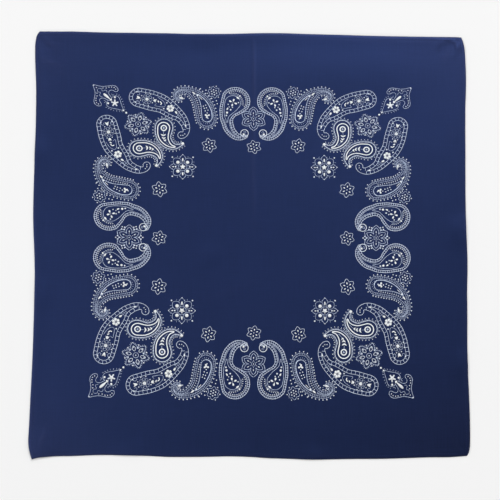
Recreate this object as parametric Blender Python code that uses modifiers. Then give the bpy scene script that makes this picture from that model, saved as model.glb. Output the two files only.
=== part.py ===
"""A square cotton bandana, hemmed on four sides and laid out flat, face up.

The cloth is one wall that lies on the ground, rises over the turned-under hem at each side and
wraps round its outer edge.  Four hem strips lie beneath that border.  +Y runs to the upper edge,
+X to the right edge, and the origin is at the middle of the footprint, on the ground.
Blender 4.5, metres, +Z up.
"""

import math

import bmesh
import bpy

# ---------------------------------------------------------------- driving dimensions (metres)

MM = 0.001

CLOTH_WALL = 1.0 * MM      # thickness of the cloth and of the folded hem under it
SEAM_GAP = 0.3 * MM        # gap that touching pieces keep
HEM_WIDTH = 5.2 * MM       # width of a turned-under hem strip
HEM_SLOPE = 4.2 * MM       # length over which the cloth comes down beside the hem
EDGE_ROUND = CLOTH_WALL + SEAM_GAP     # outer radius of the fold that closes each edge
CORNER_CLEAR = 1.6 * MM    # a hem strip stops this far inside the fold at the corners
HEM_TOP = CLOTH_WALL * 2 + SEAM_GAP    # height of the cloth's upper face over a hem

CLOTH_COLOUR = (0.019, 0.030, 0.093, 1.0)
HEM_COLOUR = (0.017, 0.027, 0.085, 1.0)
CLOTH_ROUGHNESS = 0.9

# The four corners of the hemmed square, in mm.
CORNERS = {
    "lower_left": (-275.7, -271.2),
    "lower_right": (276.5, -267.1),
    "upper_left": (-266.0, 271.7),
    "upper_right": (268.9, 263.9),
}

# How far each edge bows out from the straight line between its corners.
# Columns: share of the way along the edge, outward bow in mm.
LEFT_BOW = (        # from the lower to the upper corner
    (0.000, 0.0), (0.011, 1.9), (0.029, 4.4), (0.048, 5.2), (0.085, 4.5), (0.142, 3.6),
    (0.198, 2.5), (0.254, 1.7), (0.366, 0.8), (0.423, 0.7), (0.464, 1.4), (0.506, 2.6),
    (0.563, 4.1), (0.619, 4.2), (0.703, 3.6), (0.787, 2.9), (0.871, 3.4), (0.932, 5.0),
    (0.965, 5.4), (0.984, 4.4), (0.993, 2.8), (1.000, 0.0),
)
RIGHT_BOW = (       # from the lower to the upper corner
    (0.000, 0.0), (0.008, 2.2), (0.022, 3.8), (0.047, 4.2), (0.080, 4.3), (0.137, 3.8),
    (0.194, 2.8), (0.252, 2.3), (0.338, 2.9), (0.395, 3.1), (0.440, 3.9), (0.482, 4.0),
    (0.539, 3.0), (0.625, 2.8), (0.711, 3.3), (0.826, 4.1), (0.883, 5.3), (0.912, 5.4),
    (0.941, 5.0), (0.969, 4.3), (0.989, 2.4), (1.000, 0.0),
)
BOTTOM_BOW = (      # from the left to the right corner
    (0.000, 0.0), (0.014, -2.0), (0.033, -2.8), (0.051, -3.4), (0.093, -3.5), (0.148, -4.5),
    (0.203, -4.2), (0.258, -3.2), (0.314, -1.5), (0.396, -1.2), (0.452, -1.6), (0.507, -0.5),
    (0.534, 0.7), (0.617, 2.7), (0.657, 3.2), (0.755, 2.9), (0.810, 2.9), (0.866, 2.1),
    (0.921, 1.4), (0.958, 1.5), (1.000, 0.0),
)
TOP_BOW = (         # from the left to the right corner
    (0.000, 0.0), (0.049, 0.3), (0.078, 0.5), (0.163, -0.1), (0.306, 0.0), (0.363, -0.4),
    (0.448, 0.4), (0.505, 1.5), (0.534, 2.0), (0.590, 2.1), (0.619, 1.7), (0.733, 0.8),
    (0.790, 0.4), (0.875, 0.2), (0.989, 0.3), (1.000, 0.0),
)

# Soft folds and lifted places.  Columns: what it is, middle x and y in mm, direction in degrees,
# half length, half width and height in mm.
FOLDS = (
    ("pressed fold, upper end", 6.0, 215.0, 90.6, 95.0, 7.0, 1.2),
    ("pressed fold, lower end", 5.0, 105.0, 90.6, 95.0, 8.0, 1.0),
    ("crosswise fold, left", -205.0, 16.0, 1.0, 60.0, 7.0, 0.8),
    ("slant crease, upper left", -252.0, 232.0, -18.0, 26.0, 6.0, 0.9),
    ("lifted lower left corner", -270.0, -264.0, 45.0, 46.0, 30.0, 2.6),
    ("pucker, upper right corner", 262.0, 246.0, 60.0, 22.0, 7.0, 1.2),
    ("pucker beside it", 245.0, 258.0, 40.0, 20.0, 7.0, 1.0),
    ("raised spot left of the middle", -52.0, -14.0, 20.0, 24.0, 18.0, 0.7),
    ("ripple of the upper edge", -60.0, 268.0, 75.0, 26.0, 22.0, 0.9),
    ("ripple of the upper edge, right", 120.0, 266.0, 100.0, 26.0, 26.0, 1.1),
    ("ripple of the left edge", -268.0, -60.0, 12.0, 26.0, 30.0, 1.2),
    ("ripple of the left edge, high", -270.0, 120.0, 170.0, 24.0, 26.0, 0.9),
    ("ripple of the right edge", 272.0, 18.0, 8.0, 28.0, 28.0, 1.2),
    ("ripple of the right edge, low", 272.0, -150.0, 175.0, 26.0, 24.0, 1.0),
    ("ripple of the lower edge", -150.0, -268.0, 95.0, 28.0, 30.0, 1.3),
    ("ripple of the lower edge, right", 80.0, -272.0, 85.0, 28.0, 26.0, 1.1),
)

# Places across the cloth where its grid has a line, as distances in mm.
NEAR_EDGE = (11.0, 16.0, 23.0, 32.0, 45.0, 62.0)   # from each edge
INNER_STEPS = 11                                   # spaces from there to the middle band
FOLD_BAND = (-8.0, -3.5, 0.0, 3.5, 8.0)            # across the pressed fold
FOLD_SHIFT = 4.0                                   # the fold lies this far right of the middle

MEAN_WIDTH = 551.0    # mean distance between the left and right edges, mm
MEAN_HEIGHT = 537.0   # mean distance between the lower and upper edges, mm


# ---------------------------------------------------------------- the shape of the cloth

def smooth_table(table, at):
    """Read a two-column table at a place, along a smooth curve through its rows."""
    rows = len(table)
    k = 0
    while k < rows - 2 and table[k + 1][0] < at:
        k += 1

    def slope(i):
        low = max(i - 1, 0)
        high = min(i + 1, rows - 1)
        return (table[high][1] - table[low][1]) / (table[high][0] - table[low][0])

    span = table[k + 1][0] - table[k][0]
    t = (at - table[k][0]) / span
    rise_in = slope(k) * span
    rise_out = slope(k + 1) * span
    return ((2 * t ** 3 - 3 * t ** 2 + 1) * table[k][1] + (t ** 3 - 2 * t ** 2 + t) * rise_in
            + (3 * t ** 2 - 2 * t ** 3) * table[k + 1][1] + (t ** 3 - t ** 2) * rise_out)


def edge_point(first, second, bow, at, outward):
    """A point of one edge of the outline, in mm."""
    ax, ay = CORNERS[first]
    bx, by = CORNERS[second]
    push = smooth_table(bow, at)
    return (ax + (bx - ax) * at + push * outward[0],
            ay + (by - ay) * at + push * outward[1])


def outline_blend(u, v):
    """The place in plan for u across (left 0, right 1) and v up (lower 0, upper 1), in mm.

    The four edges are blended inwards, so the whole square follows its outline."""
    left = edge_point("lower_left", "upper_left", LEFT_BOW, v, (-1, 0))
    right = edge_point("lower_right", "upper_right", RIGHT_BOW, v, (1, 0))
    bottom = edge_point("lower_left", "lower_right", BOTTOM_BOW, u, (0, -1))
    top = edge_point("upper_left", "upper_right", TOP_BOW, u, (0, 1))
    place = []
    for axis in (0, 1):
        sides = (1 - u) * left[axis] + u * right[axis]
        ends = (1 - v) * bottom[axis] + v * top[axis]
        corners = ((1 - u) * (1 - v) * CORNERS["lower_left"][axis]
                   + u * (1 - v) * CORNERS["lower_right"][axis]
                   + (1 - u) * v * CORNERS["upper_left"][axis]
                   + u * v * CORNERS["upper_right"][axis])
        place.append(sides + ends - corners)
    return place


def footprint_middle():
    """The middle of the outline's bounding box, in mm."""
    steps = [k / 400 for k in range(401)]
    ring = [outline_blend(0, s) for s in steps] + [outline_blend(1, s) for s in steps]
    ring += [outline_blend(s, 0) for s in steps] + [outline_blend(s, 1) for s in steps]
    xs = [p[0] for p in ring]
    ys = [p[1] for p in ring]
    return (min(xs) + max(xs)) / 2, (min(ys) + max(ys)) / 2


MIDDLE = footprint_middle()


def plan(u, v):
    """The place in plan with the footprint centred on the origin, in mm."""
    x, y = outline_blend(u, v)
    return x - MIDDLE[0], y - MIDDLE[1]


def fold_lift(x, y):
    """How far the folds and ripples lift the cloth off the ground at a place, in mm."""
    lift = 0.0
    for _, fx, fy, degrees, half_length, half_width, height in FOLDS:
        turn = math.radians(degrees)
        dx = x - fx
        dy = y - fy
        along = (dx * math.cos(turn) + dy * math.sin(turn)) / half_length
        across = (dy * math.cos(turn) - dx * math.sin(turn)) / half_width
        if abs(along) < 1 and abs(across) < 1:
            lift += height * (1 - along * along) ** 2 * (1 - across * across) ** 2
    return lift


def edge_distance(u, v):
    """Distance in mm to the nearest edge of the square."""
    return min(u * MEAN_WIDTH, (1 - u) * MEAN_WIDTH, v * MEAN_HEIGHT, (1 - v) * MEAN_HEIGHT)


def upper_face(distance):
    """Height in mm of the cloth's upper face over the ground, by distance from the edge."""
    flat = CLOTH_WALL / MM
    over_hem = HEM_TOP / MM
    start = (EDGE_ROUND + HEM_WIDTH + SEAM_GAP) / MM
    t = min(max((distance - start) / (HEM_SLOPE / MM), 0.0), 1.0)
    return over_hem + (flat - over_hem) * t


# ---------------------------------------------------------------- grid lines

def grid_lines(length, middle_lines):
    """Distances in mm of the grid's lines from its first edge: close together at the edges."""
    start = (EDGE_ROUND + HEM_WIDTH + SEAM_GAP) / MM
    near = [EDGE_ROUND / MM, start, start + HEM_SLOPE / MM / 2] + list(NEAR_EDGE)
    low, high = middle_lines[0], middle_lines[-1]
    lines = list(near)
    lines += [near[-1] + (low - near[-1]) * k / INNER_STEPS for k in range(1, INNER_STEPS)]
    lines += list(middle_lines)
    far = length - near[-1]
    lines += [high + (far - high) * k / INNER_STEPS for k in range(1, INNER_STEPS)]
    lines += [length - d for d in reversed(near)]
    return lines


ACROSS = grid_lines(MEAN_WIDTH, [MEAN_WIDTH / 2 + FOLD_SHIFT + d for d in FOLD_BAND])
UP = grid_lines(MEAN_HEIGHT, [MEAN_HEIGHT / 2])


# ---------------------------------------------------------------- helpers

def new_material(name, colour, roughness):
    material = bpy.data.materials.new(name)
    material.use_nodes = True
    shader = material.node_tree.nodes["Principled BSDF"]
    shader.inputs["Base Color"].default_value = colour
    shader.inputs["Roughness"].default_value = roughness
    shader.inputs["Metallic"].default_value = 0.0
    return material


def add_object(name, bm, material, collection):
    mesh = bpy.data.meshes.new(name)
    bm.to_mesh(mesh)
    bm.free()
    mesh.materials.append(material)
    mesh.shade_smooth()
    mesh.set_sharp_from_angle(angle=math.radians(40))
    obj = bpy.data.objects.new(name, mesh)
    collection.objects.link(obj)
    return obj


def thicken(obj, offset):
    """Give an open surface the cloth's wall: offset -1 goes below the surface, 1 above."""
    wall = obj.modifiers.new("wall", "SOLIDIFY")
    wall.thickness = CLOTH_WALL
    wall.offset = offset
    wall.use_even_offset = True
    wall.use_quality_normals = True
    return wall


def flat_grid(lines_x, lines_y):
    """A bmesh grid whose vertices are told by their column and row."""
    bm = bmesh.new()
    bmesh.ops.create_grid(bm, x_segments=len(lines_x) - 1, y_segments=len(lines_y) - 1, size=1)
    columns = len(lines_x) - 1
    rows = len(lines_y) - 1
    u_layer = bm.verts.layers.float.new("across")
    v_layer = bm.verts.layers.float.new("up")
    for vert in bm.verts:
        vert[u_layer] = lines_x[round((vert.co.x + 1) / 2 * columns)]
        vert[v_layer] = lines_y[round((vert.co.y + 1) / 2 * rows)]
    return bm, u_layer, v_layer


# ---------------------------------------------------------------- the pieces

def make_panel(material, collection):
    """The printed square: a grid over the whole cloth whose border is turned down at the edges."""
    bm, across, up = flat_grid(ACROSS, UP)
    for vert in bm.verts:
        u = vert[across] / MEAN_WIDTH
        v = vert[up] / MEAN_HEIGHT
        x, y = plan(u, v)
        z = upper_face(edge_distance(u, v)) + fold_lift(x, y)
        vert.co = (x * MM, y * MM, z * MM)

    # The edge's fold is a quarter round, then a short drop to the ground.
    radius = EDGE_ROUND / MM
    steps = [(radius * (1 - math.sin(a)), HEM_TOP / MM - radius * (1 - math.cos(a)))
             for a in (math.radians(45), math.radians(90))]
    steps.append((0.0, 0.0))
    first = ACROSS[0]
    border = [edge for edge in bm.edges if edge.is_boundary]
    for distance, height in steps:
        grown = bmesh.ops.extrude_edge_only(bm, edges=border)["geom"]
        for vert in [g for g in grown if isinstance(g, bmesh.types.BMVert)]:
            a, b = vert[across], vert[up]
            if a <= first + 0.01:
                a = distance
            elif a >= MEAN_WIDTH - first - 0.01:
                a = MEAN_WIDTH - distance
            if b <= first + 0.01:
                b = distance
            elif b >= MEAN_HEIGHT - first - 0.01:
                b = MEAN_HEIGHT - distance
            x, y = plan(a / MEAN_WIDTH, b / MEAN_HEIGHT)
            vert.co = (x * MM, y * MM, (height + fold_lift(x, y)) * MM)
        border = [g for g in grown if isinstance(g, bmesh.types.BMEdge) and g.is_boundary]

    bmesh.ops.recalc_face_normals(bm, faces=bm.faces)
    if sum(face.normal.z for face in bm.faces) < 0:
        bmesh.ops.reverse_faces(bm, faces=bm.faces)
    panel = add_object("cloth_panel", bm, material, collection)
    thicken(panel, -1)
    return panel


def make_hem(name, lines_x, lines_y, material, collection):
    """One turned-under hem strip, resting on the ground below the cloth's border."""
    bm, across, up = flat_grid(lines_x, lines_y)
    for vert in bm.verts:
        x, y = plan(vert[across] / MEAN_WIDTH, vert[up] / MEAN_HEIGHT)
        vert.co = (x * MM, y * MM, fold_lift(x, y) * MM)
    hem = add_object(name, bm, material, collection)
    thicken(hem, 1)
    return hem


def build():
    for obj in list(bpy.data.objects):
        bpy.data.objects.remove(obj)

    collection = bpy.data.collections.new("bandana")
    bpy.context.scene.collection.children.link(collection)

    cloth = new_material("cloth", CLOTH_COLOUR, CLOTH_ROUGHNESS)
    hem = new_material("hem", HEM_COLOUR, CLOTH_ROUGHNESS)

    make_panel(cloth, collection)

    # A strip starts inside the turned-down edge and ends where the cloth begins its slope.
    start = EDGE_ROUND / MM
    end = start + HEM_WIDTH / MM
    butt = end + SEAM_GAP / MM
    upper_end = MEAN_HEIGHT - start
    first = start + CORNER_CLEAR / MM
    last = MEAN_WIDTH - first
    run_x = [first] + [d for d in ACROSS if first < d < last] + [last]
    run_y = [butt] + [d for d in UP if butt + 0.01 < d < MEAN_HEIGHT - butt - 0.01]
    run_y.append(MEAN_HEIGHT - butt)
    make_hem("hem_bottom", run_x, [start, end], hem, collection)
    make_hem("hem_top", run_x, [MEAN_HEIGHT - end, upper_end], hem, collection)
    make_hem("hem_left", [start, end], run_y, hem, collection)
    make_hem("hem_right", [MEAN_WIDTH - end, MEAN_WIDTH - start], run_y, hem, collection)


build()
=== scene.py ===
# %% [markdown]
# # A square cotton bandana, laid out flat
#
# A bandana is one square of thin printed cotton.  Its raw edges are turned under twice and
# stitched, and the square is usually sold folded, so a pressed line or two still shows when it
# is spread out.  This lesson dresses the plain solids of such a square: first the cloth and its
# hems, then the sewing, then the print, then the floor, the light and the camera, and last the
# finishes.
#
# All the shapes are worked out in millimetres, because that is how cloth is measured, and are
# turned into Blender's metres only when a point goes into a mesh.

# %% Load the solids
import functools
import math

import bmesh
import bpy
import numpy as np
from mathutils import Matrix, Vector


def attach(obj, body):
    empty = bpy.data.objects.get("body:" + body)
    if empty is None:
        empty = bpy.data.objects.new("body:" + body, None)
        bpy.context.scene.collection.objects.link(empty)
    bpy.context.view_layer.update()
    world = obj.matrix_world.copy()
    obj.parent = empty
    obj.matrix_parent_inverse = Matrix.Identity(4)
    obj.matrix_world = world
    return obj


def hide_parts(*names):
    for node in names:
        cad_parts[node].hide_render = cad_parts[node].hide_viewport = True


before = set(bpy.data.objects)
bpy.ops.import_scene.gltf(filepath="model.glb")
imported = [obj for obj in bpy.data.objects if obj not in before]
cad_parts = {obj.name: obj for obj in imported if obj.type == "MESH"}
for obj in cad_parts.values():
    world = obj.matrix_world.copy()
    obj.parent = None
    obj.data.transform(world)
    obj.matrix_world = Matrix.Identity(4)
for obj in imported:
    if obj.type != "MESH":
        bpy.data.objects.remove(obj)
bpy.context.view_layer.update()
MM = 0.001
print("nodes:", sorted(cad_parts))

# %% [markdown]
# ## The outline
#
# Stitching pulls a hem a little tighter in one place than another, so no edge of a bandana is
# quite straight.  Each edge is described as a straight line between two corners with a bow
# added to it, and the bow is a short table read along a smooth curve.  The four edges are then
# blended inwards, so that every thread line of the square follows the outline.

# %% Edge tables
CORNERS = {
    "lower_left": (-275.7, -271.2),
    "lower_right": (276.5, -267.1),
    "upper_left": (-266.0, 271.7),
    "upper_right": (268.9, 263.9),
}

# Columns: share of the way along the edge, outward bow in mm.  The corners and the rows come
# from a program that measured the real outline, and are rounded.
LEFT_BOW = (
    (0.000, 0.0), (0.011, 1.9), (0.029, 4.4), (0.048, 5.2), (0.085, 4.5), (0.142, 3.6),
    (0.198, 2.5), (0.254, 1.7), (0.366, 0.8), (0.423, 0.7), (0.464, 1.4), (0.506, 2.6),
    (0.563, 4.1), (0.619, 4.2), (0.703, 3.6), (0.787, 2.9), (0.871, 3.4), (0.932, 5.0),
    (0.965, 5.4), (0.984, 4.4), (0.993, 2.8), (1.000, 0.0),
)
RIGHT_BOW = (
    (0.000, 0.0), (0.008, 2.2), (0.022, 3.8), (0.047, 4.2), (0.080, 4.3), (0.137, 3.8),
    (0.194, 2.8), (0.252, 2.3), (0.338, 2.9), (0.395, 3.1), (0.440, 3.9), (0.482, 4.0),
    (0.539, 3.0), (0.625, 2.8), (0.711, 3.3), (0.826, 4.1), (0.883, 5.3), (0.912, 5.4),
    (0.941, 5.0), (0.969, 4.3), (0.989, 2.4), (1.000, 0.0),
)
BOTTOM_BOW = (
    (0.000, 0.0), (0.014, -2.0), (0.033, -2.8), (0.051, -3.4), (0.093, -3.5), (0.148, -4.5),
    (0.203, -4.2), (0.258, -3.2), (0.314, -1.5), (0.396, -1.2), (0.452, -1.6), (0.507, -0.5),
    (0.534, 0.7), (0.617, 2.7), (0.657, 3.2), (0.755, 2.9), (0.810, 2.9), (0.866, 2.1),
    (0.921, 1.4), (0.958, 1.5), (1.000, 0.0),
)
TOP_BOW = (
    (0.000, 0.0), (0.049, 0.3), (0.078, 0.5), (0.163, -0.1), (0.306, 0.0), (0.363, -0.4),
    (0.448, 0.4), (0.505, 1.5), (0.534, 2.0), (0.590, 2.1), (0.619, 1.7), (0.733, 0.8),
    (0.790, 0.4), (0.875, 0.2), (0.989, 0.3), (1.000, 0.0),
)
MEAN_WIDTH = 551.0
MEAN_HEIGHT = 537.0


# %% Read a table along a smooth curve
def smooth_table(table, at):
    """Value of a two-column table at one place or at an array of places."""
    at = np.asarray(at, dtype=float)
    x = np.array([row[0] for row in table])
    y = np.array([row[1] for row in table])
    slope = np.empty(len(x))
    slope[1:-1] = (y[2:] - y[:-2]) / (x[2:] - x[:-2])
    slope[0] = (y[1] - y[0]) / (x[1] - x[0])
    slope[-1] = (y[-1] - y[-2]) / (x[-1] - x[-2])
    k = np.clip(np.searchsorted(x, at, side="left") - 1, 0, len(x) - 2)
    span = x[k + 1] - x[k]
    t = (at - x[k]) / span
    return ((2 * t**3 - 3 * t**2 + 1) * y[k] + (t**3 - 2 * t**2 + t) * slope[k] * span
            + (3 * t**2 - 2 * t**3) * y[k + 1] + (t**3 - t**2) * slope[k + 1] * span)


# %% Blend the four edges into one plan
def edge_point(first, second, bow, at, outward):
    (ax, ay), (bx, by) = CORNERS[first], CORNERS[second]
    push = smooth_table(bow, at)
    return (ax + (bx - ax) * at + push * outward[0],
            ay + (by - ay) * at + push * outward[1])


def outline_blend(u, v):
    """Place in plan, in mm, for u across (left 0, right 1) and v up (lower 0, upper 1)."""
    left = edge_point("lower_left", "upper_left", LEFT_BOW, v, (-1, 0))
    right = edge_point("lower_right", "upper_right", RIGHT_BOW, v, (1, 0))
    bottom = edge_point("lower_left", "lower_right", BOTTOM_BOW, u, (0, -1))
    top = edge_point("upper_left", "upper_right", TOP_BOW, u, (0, 1))
    place = []
    for axis in (0, 1):
        sides = (1 - u) * left[axis] + u * right[axis]
        ends = (1 - v) * bottom[axis] + v * top[axis]
        corners = ((1 - u) * (1 - v) * CORNERS["lower_left"][axis]
                   + u * (1 - v) * CORNERS["lower_right"][axis]
                   + (1 - u) * v * CORNERS["upper_left"][axis]
                   + u * v * CORNERS["upper_right"][axis])
        place.append(sides + ends - corners)
    return place


def outline_ring():
    s = np.linspace(0, 1, 401)
    zero = np.zeros_like(s)
    runs = [outline_blend(zero, s), outline_blend(zero + 1, s),
            outline_blend(s, zero), outline_blend(s, zero + 1)]
    return np.concatenate([r[0] for r in runs]), np.concatenate([r[1] for r in runs])


ring_x, ring_y = outline_ring()
MIDDLE = ((ring_x.min() + ring_x.max()) / 2, (ring_y.min() + ring_y.max()) / 2)


def plan(u, v):
    """The same place with the middle of the footprint at the origin."""
    x, y = outline_blend(np.asarray(u, dtype=float), np.asarray(v, dtype=float))
    return x - MIDDLE[0], y - MIDDLE[1]


print("outline in mm:", round(float(np.ptp(ring_x)), 1), "by", round(float(np.ptp(ring_y)), 1))

# %% [markdown]
# ## Folds, ripples and puckers
#
# Cloth that lies on a table is never quite flat.  A pressed fold stands up as a low ridge, the
# hems ripple where the thread is tight, and a corner may lift.  A cloth simulation could find
# such shapes, but not these very ones, so each is listed: one smooth hump, long or
# round, with its own place, direction and height.  The solids have the larger ones, some of
# them higher than here so that their thick wall still shows them.  The finer creases, a slow
# unevenness over the whole square, and short puckers that run in from the stitching are too
# low for the solids and are added here.

# %% Folds and ripples
# Columns: what it is, middle x and y in mm, direction in degrees, half length, half width and
# height in mm.
FOLDS = (
    ("pressed fold, upper end", 6.0, 210.0, 90.6, 108.0, 4.0, 0.32),
    ("pressed fold, lower end", 5.0, 95.0, 90.6, 105.0, 5.0, 0.22),
    ("crosswise fold, left", -215.0, 14.0, 1.0, 64.0, 4.0, 0.08),
    ("slant crease, upper left", -252.0, 232.0, -18.0, 26.0, 5.0, 0.25),
    ("lifted lower left corner", -270.0, -264.0, 45.0, 46.0, 30.0, 2.6),
    ("pucker, upper right corner", 262.0, 246.0, 60.0, 22.0, 6.0, 0.45),
    ("pucker beside it", 245.0, 258.0, 40.0, 20.0, 6.0, 0.35),
    ("raised spot left of the middle", -52.0, -14.0, 20.0, 24.0, 18.0, 0.7),
    ("ripple of the upper edge", -60.0, 268.0, 75.0, 26.0, 22.0, 0.9),
    ("ripple of the upper edge, right", 120.0, 266.0, 100.0, 26.0, 26.0, 0.4),
    ("swell inside the upper edge", 130.0, 232.0, 2.0, 190.0, 56.0, 2.0),
    ("ripple of the left edge", -268.0, -60.0, 12.0, 26.0, 30.0, 1.2),
    ("ripple of the left edge, high", -270.0, 120.0, 170.0, 24.0, 26.0, 0.9),
    ("ripple of the right edge", 272.0, 18.0, 8.0, 28.0, 28.0, 1.2),
    ("ripple of the right edge, low", 272.0, -150.0, 175.0, 26.0, 24.0, 1.0),
    ("ripple of the lower edge", -150.0, -268.0, 95.0, 28.0, 30.0, 1.3),
    ("ripple of the lower edge, right", 80.0, -272.0, 85.0, 28.0, 26.0, 1.1),
)
# Along the sharp folds the finish paints a faded line, partly wear and partly a painted highlight
# on the ridge.
PRESSED_FOLDS = FOLDS[:4]       # the sharp ones, along which the cloth also wears

# %% Finer creases
# The same columns.  These are the faint marks left by handling.
FINE_CREASES = (
    ("soft crease under the slant one", -246.0, 222.0, -20.0, 34.0, 5.0, 0.15),
    ("soft crease, right side", 256.0, 142.0, 80.0, 16.0, 12.0, 0.20),
    ("soft crease, lower middle", -30.0, -60.0, 25.0, 60.0, 9.0, 0.12),
    ("soft crease, lower right", 180.0, -205.0, -30.0, 55.0, 9.0, 0.14),
    ("soft crease, lower left", -190.0, -210.0, 38.0, 50.0, 8.0, 0.14),
    ("pucker, lower left corner", -262.0, -244.0, 70.0, 20.0, 5.0, 0.45),
    ("pucker, lower right corner", 262.0, -252.0, -60.0, 18.0, 5.0, 0.45),
    ("pucker, upper left corner", -254.0, 258.0, -40.0, 18.0, 5.0, 0.40),
    ("pucker, third at upper right", 250.0, 240.0, 70.0, 14.0, 4.0, 0.45),
    ("pucker, fourth at upper right", 255.0, 260.0, -20.0, 10.0, 3.2, 0.45),
    ("pucker, fifth at upper right", 262.0, 255.0, 105.0, 10.0, 2.6, 0.40),
    ("pucker, sixth at upper right", 267.5, 252.0, 95.0, 9.0, 2.6, 0.36),
)


# %% Heights
def humps(table, x, y):
    """Total height in mm of a table of humps at places x, y."""
    lift = np.zeros(np.broadcast(x, y).shape)
    for _, fx, fy, degrees, half_length, half_width, height in table:
        turn = math.radians(degrees)
        along = ((x - fx) * math.cos(turn) + (y - fy) * math.sin(turn)) / half_length
        across = ((y - fy) * math.cos(turn) - (x - fx) * math.sin(turn)) / half_width
        inside = (np.abs(along) < 1) & (np.abs(across) < 1)
        lift += np.where(inside, height * (1 - along**2)**2 * (1 - across**2)**2, 0.0)
    return lift


def slow_unevenness(x, y):
    """Low rolling of the whole square, 0 to about 0.35 mm high."""
    a = np.sin(x / 31.0 + 1.3 * np.sin(y / 57.0 + 0.4))
    b = np.sin(y / 27.0 + 1.1 * np.sin(x / 63.0 + 2.1))
    c = np.sin((x + y) / 19.0 + 0.7) * np.sin((x - y) / 23.0 + 1.9)
    return 0.0875 * (2.0 + 0.9 * a * b + 0.7 * c + 0.4 * a)


def ground_lift(x, y):
    """How far the underside of the cloth is off the ground, in mm."""
    return humps(FOLDS, x, y) + humps(FINE_CREASES, x, y) + slow_unevenness(x, y)


test_x, test_y = plan(*np.meshgrid(np.linspace(0, 1, 60), np.linspace(0, 1, 60)))
print("highest lift in mm:", round(float(ground_lift(test_x, test_y).max()), 2))

# %% [markdown]
# ## The cloth, round its folded edge
#
# On the real bandana the edge is folded under, so the outline is a soft round fold and not a
# cut edge.  The sheet starts as a flat grid.  Its border is extruded outwards and down, ring by
# ring, round the fold and a little way back underneath, where the hem takes over.  A Solidify
# modifier then gives the open surface its thickness.  Grid lines crowd together beside the
# hems and the pressed fold, where the cloth bends, and spread out between.

# %% Sizes of the cloth and its hem
CLOTH = 0.35          # thickness of the cloth, mm
TUCKED_CLOTH = 0.30   # its thickness where it is pressed flat under the hem, mm
GROUND_GAP = 0.05     # the underside's clearance from the ground, mm
FLAT_TOP = GROUND_GAP + CLOTH
HEM_WIDTH = 5.8       # from the outer fold to the inner one, mm
HEM_REACH = 30.0      # how far in from the edge the hem still lifts the cloth, mm
STITCH_LINE = 4.7     # from the outer fold to the stitching, mm

# Columns: distance from the outer edge and height of the cloth's upper face, mm.
HEM_PROFILE = (
    (1.0, 1.25), (2.0, 1.30), (3.2, 1.29), (4.2, 1.23), (4.7, 1.16), (5.2, 1.20), (6.0, 1.16),
    (7.4, 1.09), (9.5, 0.96), (12.5, 0.79), (16.5, 0.62), (22.0, 0.48), (HEM_REACH, FLAT_TOP),
    (2 * HEM_REACH, FLAT_TOP),
)
# The same columns go on round the fold and under it: the rings that the border is extruded to.
NOSE_RINGS = (
    (0.55, 1.18), (0.22, 1.02), (0.05, 0.83), (0.0, 0.64), (0.05, 0.45), (0.22, 0.25),
    (0.55, 0.10), (1.0, 0.05),
)


# %% The cloth's upper face
def upper_face(distance):
    """Height in mm of the cloth's upper face by its distance from the outer edge."""
    near = np.minimum(distance, HEM_REACH)
    return np.where(distance < HEM_REACH, smooth_table(HEM_PROFILE, near), FLAT_TOP)


def edge_distance(u, v):
    return np.minimum(np.minimum(u, 1 - u) * MEAN_WIDTH, np.minimum(v, 1 - v) * MEAN_HEIGHT)


PUCKER_HIGH = 0.07    # mean height of the puckers beside the stitching, mm
PUCKER_ROW = 5.0      # from the outer edge to where they are highest, mm


def edge_puckers(u, v):
    """Height in mm of the short ripples that run in from the stitching.

    Each is about 14 mm from the next.  Some reach further in than others, and some are lower."""
    total = np.zeros(np.broadcast(u, v).shape)
    # The run along each side starts at another number, so that no two sides ripple alike.
    for away, run in ((u * MEAN_WIDTH, v * MEAN_HEIGHT),
                      ((1 - u) * MEAN_WIDTH, v * MEAN_HEIGHT + 90),
                      (v * MEAN_HEIGHT, u * MEAN_WIDTH + 170),
                      ((1 - v) * MEAN_HEIGHT, u * MEAN_WIDTH + 310)):
        reach = 9.0 + 5.0 * np.sin(run / 33.0) + 3.0 * np.sin(run / 14.0 + 1.0)
        fade = np.exp(-((away - PUCKER_ROW) / reach)**2)
        wave = np.sin(run / 2.3 + 1.6 * np.sin(run / 21.0)) * (0.55 + 0.45 * np.sin(run / 47.0))
        total = total + fade * (PUCKER_HIGH + PUCKER_HIGH * wave)
    return total


def cloth_top(u, v):
    """Plan position and height in mm of the cloth's upper face."""
    x, y = plan(u, v)
    z = upper_face(edge_distance(u, v)) + ground_lift(x, y) + edge_puckers(u, v)
    return x, y, z


# %% Grid lines
GRID_STEP = 3.6       # between two lines of the grid, away from the edges, mm
# More lines beside the hem, mm in from the edge, to carry the small puckers.
PUCKER_LINES = (8.4, 11.0, 14.4, 19.0, 26.0)


def grid_lines(length, fold, reach):
    """Distances in mm of the grid's lines: given ones near the edges, then even steps.

    Within reach of the pressed fold the steps are a third as long."""
    near = sorted([row[0] for row in HEM_PROFILE[:-1]] + list(PUCKER_LINES))
    first, last = near[-1], length - near[-1]
    lines = [first]
    while lines[-1] < last:
        close = abs(lines[-1] - fold) < reach
        lines.append(lines[-1] + (GRID_STEP / 3 if close else GRID_STEP))
    stretch = (last - first) / (lines[-1] - first)
    between = [first + (at - first) * stretch for at in lines[1:-1]]
    return np.array(near + between + [length - at for at in reversed(near)])


# Where each pressed fold crosses the grid and how far its close lines reach, mm.
UPRIGHT_FOLD = (MEAN_WIDTH / 2 + 4, 10)
CROSSWISE_FOLD = (MEAN_HEIGHT / 2 + 16, 8)
ACROSS = grid_lines(MEAN_WIDTH, *UPRIGHT_FOLD)
UP = grid_lines(MEAN_HEIGHT, *CROSSWISE_FOLD)
print("grid of the sheet:", len(ACROSS), "by", len(UP), "lines")


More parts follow.
